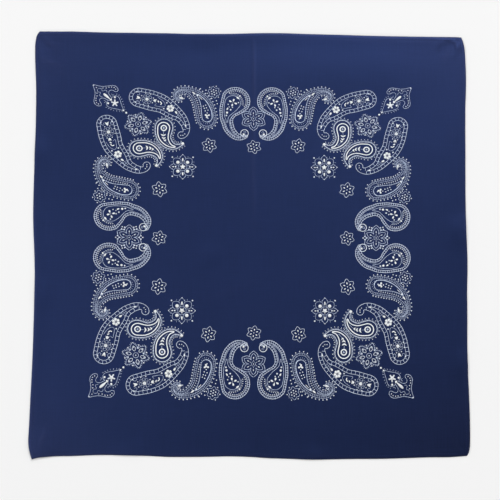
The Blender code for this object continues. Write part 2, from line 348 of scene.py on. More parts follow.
# %% From a bmesh to an object
def make_object(name, bm, smooth=True):
    """Turn a bmesh into an object at the origin, in the scene."""
    mesh = bpy.data.meshes.new(name)
    bm.to_mesh(mesh)
    bm.free()
    if smooth:
        mesh.shade_smooth()
    piece = bpy.data.objects.new(name, mesh)
    bpy.context.scene.collection.objects.link(piece)
    return piece


def thicken(piece, label, thickness):
    """Give an open surface a thickness in mm, on the side its faces look away from."""
    wall = piece.modifiers.new(label, "SOLIDIFY")
    wall.thickness = thickness * MM
    wall.offset = -1
    return piece


# %% Grids and the numbers on their vertices
def grid_of(columns, rows):
    """A bmesh grid that keeps its column's and its row's value on each vertex."""
    bm = bmesh.new()
    bmesh.ops.create_grid(bm, x_segments=len(columns) - 1, y_segments=len(rows) - 1, size=1)
    across = bm.verts.layers.float.new("across")
    up = bm.verts.layers.float.new("up")
    for vert in bm.verts:
        vert[across] = columns[round((vert.co.x + 1) / 2 * (len(columns) - 1))]
        vert[up] = rows[round((vert.co.y + 1) / 2 * (len(rows) - 1))]
    return bm, across, up


def read_layer(verts, layer):
    return np.array([vert[layer] for vert in verts])


def add_numbers(bm, label, values):
    """Keep a number on every vertex under a label, for the finishes to read."""
    layer = bm.verts.layers.float.new(label)
    for vert, value in zip(bm.verts, values):
        vert[layer] = value


def place_all(verts, x, y, z):
    for vert, px, py, pz in zip(verts, x, y, z):
        vert.co = (px * MM, py * MM, pz * MM)


# %% The sheet
# A pressed fold's faded line is partly wear and partly a painted highlight along its ridge.
FOLD_WEAR_AND_HIGHLIGHT = 2.2       # how much of its colour a pressed fold loses for each mm of its height


def shares(verts, across, up):
    """How far across and up the square each vertex is, 0 to 1."""
    return read_layer(verts, across) / MEAN_WIDTH, read_layer(verts, up) / MEAN_HEIGHT


def onto_ring(at, length, distance):
    """Move what lies on the grid's border to a ring's distance from the outer edge."""
    border = HEM_PROFILE[0][0] + 0.01
    at = np.where(at < border, distance, at)
    return np.where(at > length - border, length - distance, at)


def roll_border(bm, across, up):
    """Extrude the border round the fold.  Returns the layer with each ring's distance.

    The distances across and up stay those of the border, so the next ring finds its side."""
    nose = bm.verts.layers.float.new("nose")
    border = [edge for edge in bm.edges if edge.is_boundary]
    for distance, height in NOSE_RINGS:
        grown = bmesh.ops.extrude_edge_only(bm, edges=border)["geom"]
        verts = [g for g in grown if isinstance(g, bmesh.types.BMVert)]
        border = [g for g in grown if isinstance(g, bmesh.types.BMEdge) and g.is_boundary]
        x, y = plan(onto_ring(read_layer(verts, across), MEAN_WIDTH, distance) / MEAN_WIDTH,
                    onto_ring(read_layer(verts, up), MEAN_HEIGHT, distance) / MEAN_HEIGHT)
        place_all(verts, x, y, height + ground_lift(x, y))
        for vert in verts:
            vert[nose] = distance
    return nose


def make_sheet():
    bm, across, up = grid_of(ACROSS, UP)
    place_all(bm.verts, *cloth_top(*shares(bm.verts, across, up)))
    nose = roll_border(bm, across, up)
    bmesh.ops.recalc_face_normals(bm, faces=bm.faces)
    if sum(face.normal.z * face.calc_area() for face in bm.faces) < 0:
        bmesh.ops.reverse_faces(bm, faces=bm.faces)
    # Two numbers stay on every vertex for the finish: how far it is from the outer edge, and
    # how sharply it is creased.
    ring = read_layer(bm.verts, nose)
    flat = edge_distance(*shares(bm.verts, across, up))
    add_numbers(bm, "away_mm", np.where(ring > 0, ring, flat))
    x, y = (np.array([vert.co[axis] / MM for vert in bm.verts]) for axis in (0, 1))
    # The crease number sets that faded line, partly wear and partly a painted highlight.
    creased = FOLD_WEAR_AND_HIGHLIGHT * humps(PRESSED_FOLDS, x, y) + humps(FINE_CREASES, x, y)
    add_numbers(bm, "crease", np.clip(creased, 0, 1))
    return thicken(make_object("cotton_square", bm), "cloth thickness", CLOTH)


sheet = make_sheet()
print("sheet faces:", len(sheet.data.polygons))

# %% [markdown]
# ## The turned-under hems
#
# Under each edge the cloth is folded twice, so the raw edge is shut inside.  From below, the
# hem shows as a flat band with a soft inner fold.  The sheet itself could be extruded on into
# the hem, but its four corners would run into each other.  So each hem is a short grid of its
# own, bent round a small profile: along the ground, round the inner fold and back over itself.
# The upper and lower hems run the full width, and the side hems butt against them.

# %% Hem strips
# Columns: distance from the outer edge and height above the ground, mm, of the strip's outer
# face, from the outer fold inwards, round the inner fold and back.
HEM_SECTION = (
    (1.02, 0.05), (2.6, 0.05), (4.2, 0.08), (5.3, 0.10), (5.68, 0.20), (5.80, 0.42),
    (5.68, 0.62), (5.3, 0.72), (4.2, 0.72), (2.6, 0.74), (1.3, 0.74),
)
GROUND_ROWS = 4       # how many of them lie along the ground
# Where each hem starts, mm from the end of its side: the side hems fit between the others.
HEM_ENDS = {"left": HEM_WIDTH + 0.08, "right": HEM_WIDTH + 0.08, "lower": 1.1, "upper": 1.1}


def side_length(side):
    return MEAN_HEIGHT if side in ("left", "right") else MEAN_WIDTH


def from_side(side, run, away):
    """Shares across and up of places along one side and in from it, both given in mm."""
    upright = side in ("left", "right")
    if side in ("right", "upper"):
        away = (MEAN_WIDTH if upright else MEAN_HEIGHT) - away
    across, up = (away, run) if upright else (run, away)
    return across / MEAN_WIDTH, up / MEAN_HEIGHT


def make_hem(side):
    first = HEM_ENDS[side]
    last = side_length(side) - first
    lines = UP if side in ("left", "right") else ACROSS
    columns = [first, *(at for at in lines if first < at < last), last]
    bm, run, rank = grid_of(columns, range(len(HEM_SECTION)))
    rows = np.rint(read_layer(bm.verts, rank)).astype(int)
    away, high = np.array(HEM_SECTION)[rows].T
    add_numbers(bm, "away_mm", away)
    x, y = plan(*from_side(side, read_layer(bm.verts, run), away))
    place_all(bm.verts, x, y, high + ground_lift(x, y))
    bm.normal_update()
    resting = [f for f in bm.faces if all(vert[rank] < GROUND_ROWS - 0.5 for vert in f.verts)]
    if sum(face.normal.z for face in resting) > 0:
        bmesh.ops.reverse_faces(bm, faces=bm.faces)     # what rests on the ground looks down
    return thicken(make_object("turned_hem_" + side, bm), "cloth thickness", TUCKED_CLOTH)


hems = {side: make_hem(side) for side in ("left", "right", "lower", "upper")}
print("hems:", {side: len(hem.data.polygons) for side, hem in hems.items()})

# %% [markdown]
# ## The stitching
#
# One row of lockstitch holds the hems down, near their inner fold.  Above and below it shows
# as short stitches with a needle hole between each two, and every stitch dips at both ends
# where the thread goes through.  One bead shaped by an operator is copied along the four
# sides with arrays of numbers, and all its copies are joined, because 800 objects would be
# slow.

# %% Joining many copies
def take_apart(bm):
    """Points and faces of a bmesh, which is then freed."""
    bm.verts.index_update()
    points = np.array([vert.co for vert in bm.verts])
    faces = [[vert.index for vert in face.verts] for face in bm.faces]
    bm.free()
    return points, faces


def join_copies(name, copies, **numbers):
    """One object of many copies, each given by its places in mm and its faces.

    Each further argument is a number for every vertex."""
    faces, start = [], 0
    for places, own_faces in copies:
        faces.extend([k + start for k in face] for face in own_faces)
        start += len(places)
    mesh = bpy.data.meshes.new(name)
    mesh.from_pydata(np.vstack([places for places, _ in copies]) * MM, [], faces)
    for label, values in numbers.items():
        mesh.attributes.new(label, "FLOAT", "POINT").data.foreach_set("value", values)
    bm = bmesh.new()
    bm.from_mesh(mesh)
    bpy.data.meshes.remove(mesh)
    bmesh.ops.remove_doubles(bm, verts=bm.verts, dist=1e-7)
    return make_object(name, bm)


# %% Stitches
STITCH_PITCH = 2.6      # from one needle hole to the next, mm
STITCH_LONG = 2.25      # what shows of one stitch, mm
THREAD_WIDE = 0.42      # mm
FROM_CORNER = 1.2       # from the crossing of two rows to the first stitch, mm
# Columns: how high the thread lies over the cloth's face, its thickness, and how far its ends
# dip, mm.  The row underneath is pressed flat by the surface the cloth lies on.
STITCH_SHAPE = {"upper": (0.05, 0.24, -0.13), "under": (0.075, 0.11, 0.05)}


def one_stitch():
    """Places and faces of a bead along x, 1 long and 1 wide."""
    bm = bmesh.new()
    bmesh.ops.create_uvsphere(bm, u_segments=6, v_segments=5, radius=0.5,
                              matrix=Matrix.Rotation(math.pi / 2, 4, "Y"))
    return take_apart(bm)


def make_stitching(row):
    lie, thick, dip = STITCH_SHAPE[row]
    points, faces = one_stitch()
    x, y, z = points.T
    stitches = []
    for side in ("lower", "upper", "left", "right"):
        first = STITCH_LINE + FROM_CORNER
        length = side_length(side) - 2 * first
        count = round(length / STITCH_PITCH)
        middles = first + (np.arange(count) + 0.5) * length / count
        # The row wanders by up to 0.17 mm, since the hem is guided by hand.
        sway = 0.12 * np.sin(middles / 37.0) + 0.05 * np.sin(middles / 5.3)
        run = middles[:, None] + x * STITCH_LONG
        away = STITCH_LINE + sway[:, None] + y * THREAD_WIDE
        px, py, face_high = cloth_top(*from_side(side, run, away))
        if row == "under":
            face_high = ground_lift(px, py)
        high = face_high + lie + z * thick + dip * (2 * x)**2
        # On two of the sides a stitch comes out mirrored, so its faces are turned over.
        step = -1 if side in ("upper", "left") else 1
        own_faces = [face[::step] for face in faces]
        stitches.extend((places, own_faces) for places in np.stack([px, py, high], axis=2))
    return join_copies("hem_stitching_" + row, stitches,
                       along_mm=np.tile(x * STITCH_LONG, len(stitches)),
                       round_share=np.tile(np.arctan2(z, y) / math.tau, len(stitches)))


stitching = {row: make_stitching(row) for row in STITCH_SHAPE}
print("stitching:", {row: len(piece.data.polygons) for row, piece in stitching.items()})

# %% [markdown]
# ## The print
#
# The white border is the traditional bandana one: paisley drops, flowers, small stars and a
# leaf in each corner, in fine outline work.  It is screen printed on one side, so the pigment
# lies on the threads as a film a few hundredths of a millimetre thick.  One image wrapped on
# the cloth would be less work, but it goes soft close up.  So each motif is drawn from a few
# kinds of flat shape: a strip bent along a curve, a dot, a drop and a filled outline.  Each
# kind starts as one operator shape, and its copies are laid in place.
#
# The drawing has its own unit of 1.27 mm, and its middle is the middle of the border.  Only
# the upper right quarter is drawn.  The other quarters are its mirror images.

# %% Curves
FINE_PITCH = 0.25     # between the points that a curve is first worked out at


def distances(path):
    """How far along a path each of its points is."""
    return np.concatenate([[0], np.cumsum(np.hypot(*np.diff(path[:, :2], axis=0).T))])


def evenly(path, pitch):
    """The same line with its points an even pitch apart."""
    gone = distances(path)
    at = np.linspace(0, gone[-1], max(3, round(gone[-1] / pitch) + 1))
    return np.stack([np.interp(at, gone, column) for column in path.T], axis=1)


def curve(rows, pitch=1.0):
    """Even points along a smooth curve through a table's rows."""
    rows = np.array(rows, dtype=float)
    gone = distances(rows)
    at = np.linspace(0, gone[-1], max(3, round(gone[-1] / FINE_PITCH) + 1))
    columns = [smooth_table(np.column_stack([gone, column]), at) for column in rows.T]
    return evenly(np.stack(columns, axis=1), pitch)


def lobed(lobes, low, high, start=90.0, power=1.0, centre=(0, 0), pitch=0.7):
    """Closed flower outline: its radius swings between low in the valleys and high at tips."""
    turn = np.radians(np.linspace(0, 360, 24 * lobes + 1))
    off = (np.degrees(turn) * lobes / 180 + 1) % 2 - 1
    radius = low + (high - low) * (1 - np.abs(off))**power
    aim = turn + math.radians(start)
    path = np.stack([radius * np.cos(aim), radius * np.sin(aim)], axis=1) + centre
    return evenly(path, pitch)


def circle(radius, centre=(0, 0), pitch=0.7):
    return lobed(6, radius, radius, centre=centre, pitch=pitch)


def petal(foot, tip, half, full=1.0, blunt=0.8, pitch=0.8):
    """Closed outline of a petal that lies along x from its foot to its tip."""
    t = np.linspace(0, 1, 41)
    side = np.stack([foot + (tip - foot) * t, half * np.sin(np.pi * t**full)**blunt], axis=1)
    return evenly(np.vstack([side, side[-2::-1] * (1, -1)]), pitch)


# %% Turning, and places along a path
def turned(path, degrees, centre=(0, 0)):
    """A path turned round the origin and then moved to its centre."""
    a = math.radians(degrees)
    x, y = np.asarray(path, dtype=float)[:, :2].T
    return np.stack([x * math.cos(a) - y * math.sin(a), x * math.sin(a) + y * math.cos(a)],
                    axis=1) + centre


def spot(radius, degrees, centre=(0, 0)):
    """The place at a distance and in a direction from a centre."""
    return turned([(radius, 0)], degrees, centre)[0]


def around(count, radius, start=90.0, centre=(0, 0)):
    """Places round a centre, each with its direction in degrees."""
    for k in range(count):
        degrees = start + 360.0 * k / count
        x, y = spot(radius, degrees, centre)
        yield x, y, degrees


def unit(vector):
    return vector / np.hypot(*vector)


def headings(path):
    """A path's direction at each of its points, 1 long."""
    aim = np.gradient(path, axis=0)
    return aim / np.maximum(np.hypot(*aim.T), 1e-9)[:, None]


def leftward(aim):
    return np.stack([-aim[:, 1], aim[:, 0]], axis=1)


def stations(path, pitch):
    """Even places along a path, each with the direction away from what the path encloses."""
    even = evenly(np.asarray(path, dtype=float)[:, :2], pitch)
    x, y = even.T
    anticlockwise = np.dot(x, np.roll(y, -1)) > np.dot(np.roll(x, -1), y)
    out = leftward(headings(even)) * (-1 if anticlockwise else 1)
    closed = np.allclose(even[0], even[-1])
    return list(zip(even, out))[:-1 if closed else None]


print("points on a circle 10 units wide:", len(circle(5.0)))

# %% [markdown]
# ## Shapes of ink
#
# A screen gives a fine line less ink than a full shape, so every shape also keeps how much
# ink it holds, for the finish.  Where two strokes cross they would share one plane and
# flicker, so each new shape lies on the next of a few levels, thousandths of a millimetre
# apart.

# %% Weights of the strokes
THIN = 0.85           # weight of most lines
NIB = 0.270           # how wide a line of weight 1 prints, drawing units
FULL, BEAD, FINE = 1.0, 0.6, 0.0   # how much ink a shape holds: a fine line gets the least
ROUND = 1.05          # a ten-sided dot is drawn this much larger, so it covers a full round
STEPS = 7             # how many levels the strokes lie on


# %% One strip or disc for all
@functools.cache
def template(kind, cells):
    """Points and faces of a plain strip or disc, made by an operator the first time."""
    bm = bmesh.new()
    if kind == "strip":
        bmesh.ops.create_grid(bm, x_segments=cells, y_segments=1, size=1)
    else:
        bmesh.ops.create_circle(bm, cap_ends=True, segments=cells, radius=1)
    points, faces = take_apart(bm)
    return points[:, :2], faces


# %% A drawing
def nowhere(point):
    return False


class Drawing:
    """Flat ink shapes in drawing units."""

    def __init__(self):
        self.points, self.faces, self.inks, self.laid, self.count = [], [], [], [], 0

    def add(self, points, faces, ink):
        x, y = points[faces[0]].T
        if np.dot(x, np.roll(y, -1)) < np.dot(np.roll(x, -1), y):
            faces = [face[::-1] for face in faces]
        self.faces.extend([k + self.count for k in face] for face in faces)
        self.points.append(points)
        self.inks.append(np.full(len(points), ink))
        self.laid.append(np.full(len(points), len(self.laid) % STEPS))
        self.count += len(points)

    def line(self, path, width=THIN, ink=FINE):
        """A strip bent along a path.  The width may be one number or one for each point."""
        path = np.asarray(path, dtype=float)[:, :2]
        aim = headings(path)
        if np.allclose(path[0], path[-1]):
            aim[0] = aim[-1] = unit(path[1] - path[-2])
        side = leftward(aim) * np.reshape(width, (-1, 1)) * NIB / 2
        flat, faces = template("strip", len(path) - 1)
        k = np.rint((flat[:, 0] + 1) / 2 * (len(path) - 1)).astype(int)
        self.add(path[k] + side[k] * np.sign(flat[:, 1:]), faces, ink)

    def dash(self, start, end, width=THIN, ink=FINE):
        self.line([start, np.add(start, end) / 2, end], width, ink)

    def mirrored(self, degrees, *strokes):
        """Lines beside the x axis and their mirror images, each a path and a width, turned."""
        for side in (1, -1):
            for path, width in strokes:
                self.line(turned(path * (1, side), degrees), width)

    def shape(self, path, ink=FULL):
        """A filled outline."""
        path = np.asarray(path, dtype=float)[:, :2]
        if np.allclose(path[0], path[-1]):
            path = path[:-1]
        self.add(path, template("disc", len(path))[1], ink)

    def drop(self, x, y, length, width, degrees, taper=0.45):
        """An egg or drop with its middle at x, y and its broad end in the direction given."""
        t = np.radians(np.arange(0, 360, 30))
        path = np.stack([length / 2 * np.cos(t),
                         width / 2 * np.sin(t) * (1 + taper * np.cos(t))], axis=1)
        self.shape(turned(path, degrees, (x, y)), FULL if width > 1.0 else BEAD)

    def dot(self, x, y, radius):
        flat, faces = template("disc", 10)
        self.add(flat * radius * ROUND + (x, y), faces, FULL if radius > 0.8 else BEAD)

    def beads(self, radius, places):
        """Dots of one radius."""
        for x, y in places:
            self.dot(x, y, radius)

    def ring(self, count, away, start, radius, centre=(0, 0)):
        """Dots at even places round a centre."""
        self.beads(radius, [place[:2] for place in around(count, away, start, centre)])

    def dots(self, path, pitch, away, radius, skip=nowhere):
        """Dots along a path, or at a distance outwards from it."""
        self.beads(radius, [point + out * away for point, out in stations(path, pitch)
                            if not skip(point)])

    def spokes(self, path, pitch, start, end, width=THIN, skip=nowhere):
        """Short strips across a path, from one distance outwards to another."""
        for point, out in stations(path, pitch):
            if not skip(point):
                self.dash(point + out * start, point + out * end, width)

    def stamp(self, other, centre=(0, 0), degrees=0.0):
        """A copy of another drawing."""
        self.faces.extend([k + self.count for k in face] for face in other.faces)
        self.points.append(turned(np.vstack(other.points), degrees, centre))
        self.inks.extend(other.inks)
        self.laid.extend(other.laid)
        self.count += other.count


# %% [markdown]
# ## The paisley drop
#
# A paisley is a drop whose tail bends to one side.  Its table gives the line through its
# middle, from the centre of the round head to the end of the tail, with the half width at
# each place.  The outline, and every line that runs inside it at an even distance, follow
# from those few rows.

# %% A bent drop
LEAST_HALF = 0.3      # half width at which a line inside a drop turns back


class Paisley:
    """A drop from rows of x, y and half width, from the head to the tail."""

    def __init__(self, rows):
        table = curve(rows)
        self.line, self.half = table[:, :2], table[:, 2]
        self.aim = headings(self.line)
        self.side = leftward(self.aim)

    def cap(self, k, half, degrees):
        """Points of a round end, by their directions from a point of the middle line."""
        return [self.line[k] + half * (math.cos(a) * self.aim[k] + math.sin(a) * self.side[k])
                for a in np.radians(degrees)]

    def edge(self, inset, pitch=1.0):
        """Closed outline at an even distance inside the drop's edge."""
        half = self.half - inset
        thin = np.nonzero(half < LEAST_HALF)[0]
        n = thin[0] if len(thin) else len(half)
        half = half[:n, None]
        left = self.line[:n] + self.side[:n] * half
        right = self.line[:n] - self.side[:n] * half
        head = self.cap(0, half[0], np.arange(100, 270, 10))
        tail = self.cap(n - 1, half[-1], np.arange(-70, 90, 20))
        return evenly(np.vstack([left[::-1], head, right, tail, left[-1:]]), pitch)

    def at(self, gone, share=0.0):
        """Place at a distance along the middle line and a share of the half width aside."""
        k = round(gone)
        return self.line[k] + self.side[k] * self.half[k] * share

    def heading(self, gone):
        aim = self.aim[round(gone)]
        return math.degrees(math.atan2(aim[1], aim[0]))


# %% [markdown]
# ## Flowers
#
# Flowers fill the gaps between the paisleys.  A petal or a pair of lines is drawn once, along
# the x axis, and turned round the middle: that keeps all the petals of a flower alike.

# %% Solid flowers
def solid_flower(radius, start, eye):
    """Six fat petals round an eye."""
    d = Drawing()
    for x, y, a in around(6, radius * 0.62, start):
        d.drop(x, y, radius * 0.8, radius * 0.66, a)
    d.dot(0, 0, eye)
    return d


def star_bloom(radius, start):
    """A solid flower of five narrow petals."""
    d = Drawing()
    d.shape(lobed(5, radius * 0.36, radius, start, 1.6))
    d.ring(5, radius * 0.78, start, radius * 0.2)
    return d


# %% Small outlined flowers
def tiny_flower():
    d = Drawing()
    d.line(lobed(6, 4.7, 7.5, 98, 0.9), 1.45, 0.3)
    for x, y, a in around(6, 3.2, 98):
        d.drop(x, y, 2.1, 1.05, a)
    d.dot(0, 0, 0.5)
    return d


def ball_flower():
    d = Drawing()
    d.line(lobed(6, 4.5, 6.9, 75, 0.8), 1.3)
    d.ring(6, 2.9, 75, 0.7)
    d.ring(6, 7.4, 105, 0.6)
    d.dot(0, 0, 0.75)
    return d


# %% Star flower
def star_flower():
    d = Drawing()
    d.line(circle(4.0), 1.2)
    d.shape(lobed(5, 1.3, 2.9, 90, 1.1))
    gable = curve([(8.4, 3.3), (9.7, 2.6), (11.4, 1.5), (12.9, 0.25)])
    leaf = petal(3.9, 12.0, 3.9, 0.85, 0.6)
    for a in (0, 90, 180, 270):
        d.mirrored(a, (gable, 1.1))
        d.dot(*spot(12.7, a), 0.5)
        if a in (90, 270):
            d.drop(*spot(7.4, a), 3.8, 1.5, a + 180, 0.2)
        else:
            d.drop(*spot(9.3, a), 1.9, 1.1, a + 180, 0.3)
            d.dot(*spot(6.9, a), 0.8)
        d.line(turned(leaf, a + 45), 1.1)
        d.dot(*spot(6.6, a + 45), 1.65)
        d.dot(*spot(14.2, a + 45), 0.75)
        for away, aside in ((10.8, 3.4), (8.6, 4.7)):
            for side in (1, -1):
                ray = [(away, aside * side), (away + 0.9, (aside + 1.1) * side)]
                d.dash(*turned(ray, a + 45), 0.9)
    return d


# %% Corner flower
def corner_flower():
    d = Drawing()
    arch = curve([(6.2, 3.4), (8.2, 3.4), (10.7, 2.2), (13.3, 0.2)])
    for a in range(50, 410, 60):
        d.line(turned(petal(4.5, 9.9, 1.5, 0.9, 0.8, 0.6), a), 1.9, 0.5)
        d.drop(*spot(8.6, a), 1.8, 0.8, a + 180, 0.3)
        for side in (1, -1):
            flank = turned(arch * (1, side), a)
            d.line(flank, 1.15)
            for point, _ in stations(flank, 1.6)[:-1]:
                d.dash(point, point + unit(point - spot(7.0, a)) * 1.7, 1.1)
        d.dot(*spot(13.3, a), 0.45)
        d.dot(*spot(10.8, a + 30), 0.7)
        d.dot(*spot(7.8, a + 30), 0.6)
    d.line(circle(2.6), 1.5)
    d.dot(0, 0, 0.62)
    return d


# %% Flower of the sides
def side_flower(ringed):
    """Six pointed petals, each a line within a line; the ringed one has beads between."""
    d = Drawing()
    arch = curve([(7.2, 3.9), (8.4, 4.4), (10.4, 3.5), (13.3, 0.2)])
    inner = curve([(4.0, 2.3), (6.2, 2.8), (8.4, 2.1), (10.8, 0.15)])
    for a in (90, 29, -29, -90, 209, 151):
        d.mirrored(a, (arch, 1.6), (inner, 1.5))
        d.drop(*spot(6.1, a), 2.4, 0.85, a, 0.3)
        d.dot(*spot(3.6, a), 0.34)
    d.line(circle(2.2, pitch=0.6), 1.1)
    d.dot(0, 0, 0.55)
    if ringed:
        for a in (0, 180, 59, -59, 121, -121):
            d.ring(4, 1.7, a, 0.66, spot(11.4, a))
    return d


print("shapes in a flower:", [len(drawing.faces) for drawing in
                              (tiny_flower(), ball_flower(), star_flower(), side_flower(True))])

# %% [markdown]
# ## The corner leaf
#
# Each corner has a leaf that points at it: a crown with two curled shoulders over a heart
# that holds a flower of five petals.  It is drawn along its own axis, one half at a time, so
# a few short tables give the whole of it.

# %% Corner leaf
LEAF_CROWN = (
    (40.4, 0.4), (36.5, 2.4), (32.4, 5.3), (29.2, 9.5), (26.8, 12.6), (23.9, 14.0), (20.4, 13.3),
    (18.9, 11.2), (20.0, 9.5), (22.4, 8.9), (24.2, 7.8), (24.6, 5.5), (22.8, 3.4), (20.5, 2.7),
    (18.0, 2.0),
)
LEAF_HEART = ((17.9, 1.8), (18.0, 4.2), (17.0, 6.0), (15.4, 7.0), (13.3, 7.2), (10.4, 6.1),
              (7.0, 4.0), (3.4, 1.9), (0.4, 0.3))
LEAF_WIGGLE = ((34.0, 0.2), (33.1, 1.7), (31.2, 2.3), (29.7, 1.2), (28.6, 2.1), (28.3, 3.8),
               (26.6, 4.3), (25.0, 3.2))
LEAF_DOTS = ((36.0, 0.0), (31.2, 4.0), (29.0, 6.2), (27.9, 8.7), (26.3, 10.5), (24.2, 11.8),
             (21.8, 11.6))


def leaning(rows, side):
    """Rows of one side of the leaf, which leans a little: one shoulder sits lower."""
    x, y = np.array(rows).T
    return np.stack([x - 0.10 * side * y * np.clip(x / 18, 0, 1), y * side], axis=1)


def corner_leaf():
    d = Drawing()
    for side in (1, -1):
        d.line(curve(leaning(LEAF_CROWN, side), pitch=0.9), 1.35)
        heart = curve(leaning(LEAF_HEART, side), pitch=0.9)
        d.line(heart, 1.25)
        d.line(curve(leaning(LEAF_WIGGLE, side), pitch=0.7), 1.05)
        d.beads(0.5, leaning(LEAF_DOTS, side))
        d.beads(1.0, leaning([(16.0, 4.6)], side))
        for point, _ in stations(heart, 2.1)[2:-1]:
            away = unit(point - (9.0, 0))
            if point[0] < 15.5:
                d.dash(point + away * 1.3, point + away * 2.7, 1.3)
        hook = leaning([(19.9, 5.8)], side)[0]
        d.line(turned(circle(1.15, pitch=0.5)[:9], 60 * side, hook), 1.0)
    d.dot(39.6, 0, 0.6)
    d.drop(21.9, 0, 9.4, 2.3, 0, 0.6)
    d.shape(lobed(4, 0.8, 1.7, 0, 1.0, (17.0, 0)))
    d.drop(0.2, 0, 2.2, 1.3, 0, 0.2)
    d.dot(-3.5, 0, 0.95)
    d.stamp(star_bloom(3.9, 49), (11.6, 0))
    return d


print("shapes in the corner leaf:", len(corner_leaf().faces))

# %% [markdown]
# ## The paisleys
#
# The border has four kinds.  The long one has a ladder all round and a row of small flowers
# inside.  The small one has a bold line, a scalloped edge and an eye.  The feathered one has
# a shaded band and a fringe of dots.  The fourth stands in pairs, curled round the flowers in
# the middle of the sides.  Ladders, fringes and inner lines are worked out from each drop's
# outline, and only the small figures inside are placed one by one.

# %% Long paisley
LONG_ROWS = ((115.0, 143.7, 9.9), (102.4, 140.6, 10.4), (91.1, 136.9, 9.3), (79.7, 128.7, 7.4),
             (72.8, 123.3, 5.3), (68.6, 116.4, 4.2), (67.4, 112.2, 3.7), (67.3, 109.0, 3.1),
             (68.4, 106.2, 2.9), (70.4, 104.7, 3.3), (72.2, 104.5, 3.6))
ROSETTE = (106.9, 142.0)


def long_paisley_filling(d, drop):
    """From the head to the tail: scrolls and a fleuron, a rosette, a tulip, a heart, a flower."""
    toward = drop.heading(0) + 180
    fleuron = [(-2.2, 0), (-0.4, 1.2), (2.3, 1.9), (1.4, 0), (2.3, -1.9), (-0.4, -1.2)]
    d.shape(turned(fleuron, toward, (115.4, 143.4)))
    for hook in ([(117.2, 149.7), (115.3, 149.3), (114.0, 147.8), (115.0, 146.4), (116.6, 146.9)],
                 [(118.6, 138.6), (117.2, 139.9), (115.3, 139.7), (114.4, 138.4), (115.4, 137.4)]):
        d.line(curve(hook, pitch=0.6), 1.25)
        d.dot(*hook[0], 0.75)
    d.line(lobed(8, 4.2, 5.3, 12, 0.5, ROSETTE), 0.85)
    d.line(circle(2.8, ROSETTE), 0.8)
    d.ring(8, 3.8, 34, 0.34, ROSETTE)
    d.stamp(solid_flower(1.8, 12, 0.756), ROSETTE)
    d.ring(8, 6.6, 34, 0.55, ROSETTE)
    tulip = [(-1.7, 0), (-0.9, 1.1), (1.7, 1.8), (0.9, 0.6), (2.0, 0), (0.9, -0.6), (1.7, -1.8),
             (-0.9, -1.1)]
    d.shape(turned(tulip, toward + 180, (99.0, 140.7)))
    d.line(curve([(96.0, 144.2), (92.8, 142.2), (90.1, 139.8), (88.5, 136.4), (89.2, 134.5),
                  (92.0, 134.0), (95.6, 134.6), (99.2, 135.5), (97.4, 137.6)]), 1.1)
    d.drop(95.5, 139.7, 2.6, 1.2, 70, 0.4)
    d.line(curve([(93.9, 139.9), (92.3, 138.0), (93.1, 136.3)], pitch=0.6), 3.4, FULL)
    d.beads(0.75, [(86.9, 138.5), (90.0, 132.2)])
    d.stamp(solid_flower(3.8, 50, 0.3), (83.3, 132.6))
    d.drop(77.4, 128.2, 3.4, 1.9, drop.heading(36) + 200, 0.4)


def long_paisley():
    d = Drawing()
    drop = Paisley(LONG_ROWS)
    rim = drop.edge(0.0)
    d.line(rim, 1.7, 0.2)
    d.line(drop.edge(3.4), 1.45, 0.2)
    d.spokes(rim, 4.35, -0.2, -3.2, 1.5, skip=lambda point: point[1] < 110.5)
    for aside in (-0.36, 0.0, 0.36):
        d.line([drop.at(gone, aside) for gone in (43, 45, 47, 49)], 0.8)
    for gone in (43.5, 46, 48.5):
        d.dash(drop.at(gone, 0.5), drop.at(gone, -0.5), 0.8)
    d.drop(*drop.at(58.5), 2.6, 1.1, 90)
    d.beads(0.5, [(72.8, 104.3), (70.6, 104.3), (68.7, 105.8)])
    long_paisley_filling(d, drop)
    return d


# %% Small paisley
SMALL_INNER = ((90.2, 111.6, 6.0), (90.7, 105.5, 5.3), (89.8, 101.0, 4.3), (87.8, 97.4, 3.1),
               (85.2, 94.6, 2.0), (82.3, 92.9, 1.1), (79.0, 92.3, 0.5))
SMALL_OUTER = ((89.8, 112.4, 8.7), (90.4, 106.5, 8.0), (89.8, 101.6, 6.8), (87.4, 97.4, 5.6),
               (84.2, 94.4, 4.4), (80.6, 92.8, 3.1), (77.0, 92.8, 1.9), (73.6, 94.1, 1.1),
               (71.2, 95.6, 0.6))


def small_paisley():
    d = Drawing()
    inner, outer = Paisley(SMALL_INNER), Paisley(SMALL_OUTER)
    d.line(inner.edge(0.0, 0.8), 3.7, FULL)
    rim = outer.edge(0.0, 0.8)
    d.line(rim, 2.1, 0.4)
    scallop = circle(1.25, pitch=0.65)[:8]
    for point, out in stations(rim, 2.9):
        angle = math.degrees(math.atan2(out[1], out[0]))
        d.line(turned(scallop, angle - 170, point + out * 0.2), 0.9)
        d.dot(*(point + out * 2.5), 0.42)
    d.dot(71.2, 95.8, 1.4)
    d.line(circle(2.65, (90.1, 111.7), 0.6), 4.4, FULL)
    d.shape(lobed(4, 0.6, 1.2, 90, 1.0, (90.1, 111.7)), FINE)
    d.dash((90.3, 108.9), (90.5, 105.6), 1.2)
    for x, y, wide, lean in ((90.6, 104.2, 5.3, 2), (90.1, 101.1, 4.0, 2),
                             (88.9, 98.8, 3.0, -8)):
        smile = [(-wide / 2, 1.3), (-wide / 3, -0.3), (0, -1.2), (wide / 3, -0.3),
                 (wide / 2, 1.3), (wide / 4, 0.9), (0, 0.5), (-wide / 4, 0.9)]
        d.shape(turned(smile, lean, (x, y)))
    d.line(inner.line[14:20], 1.0)
    return d


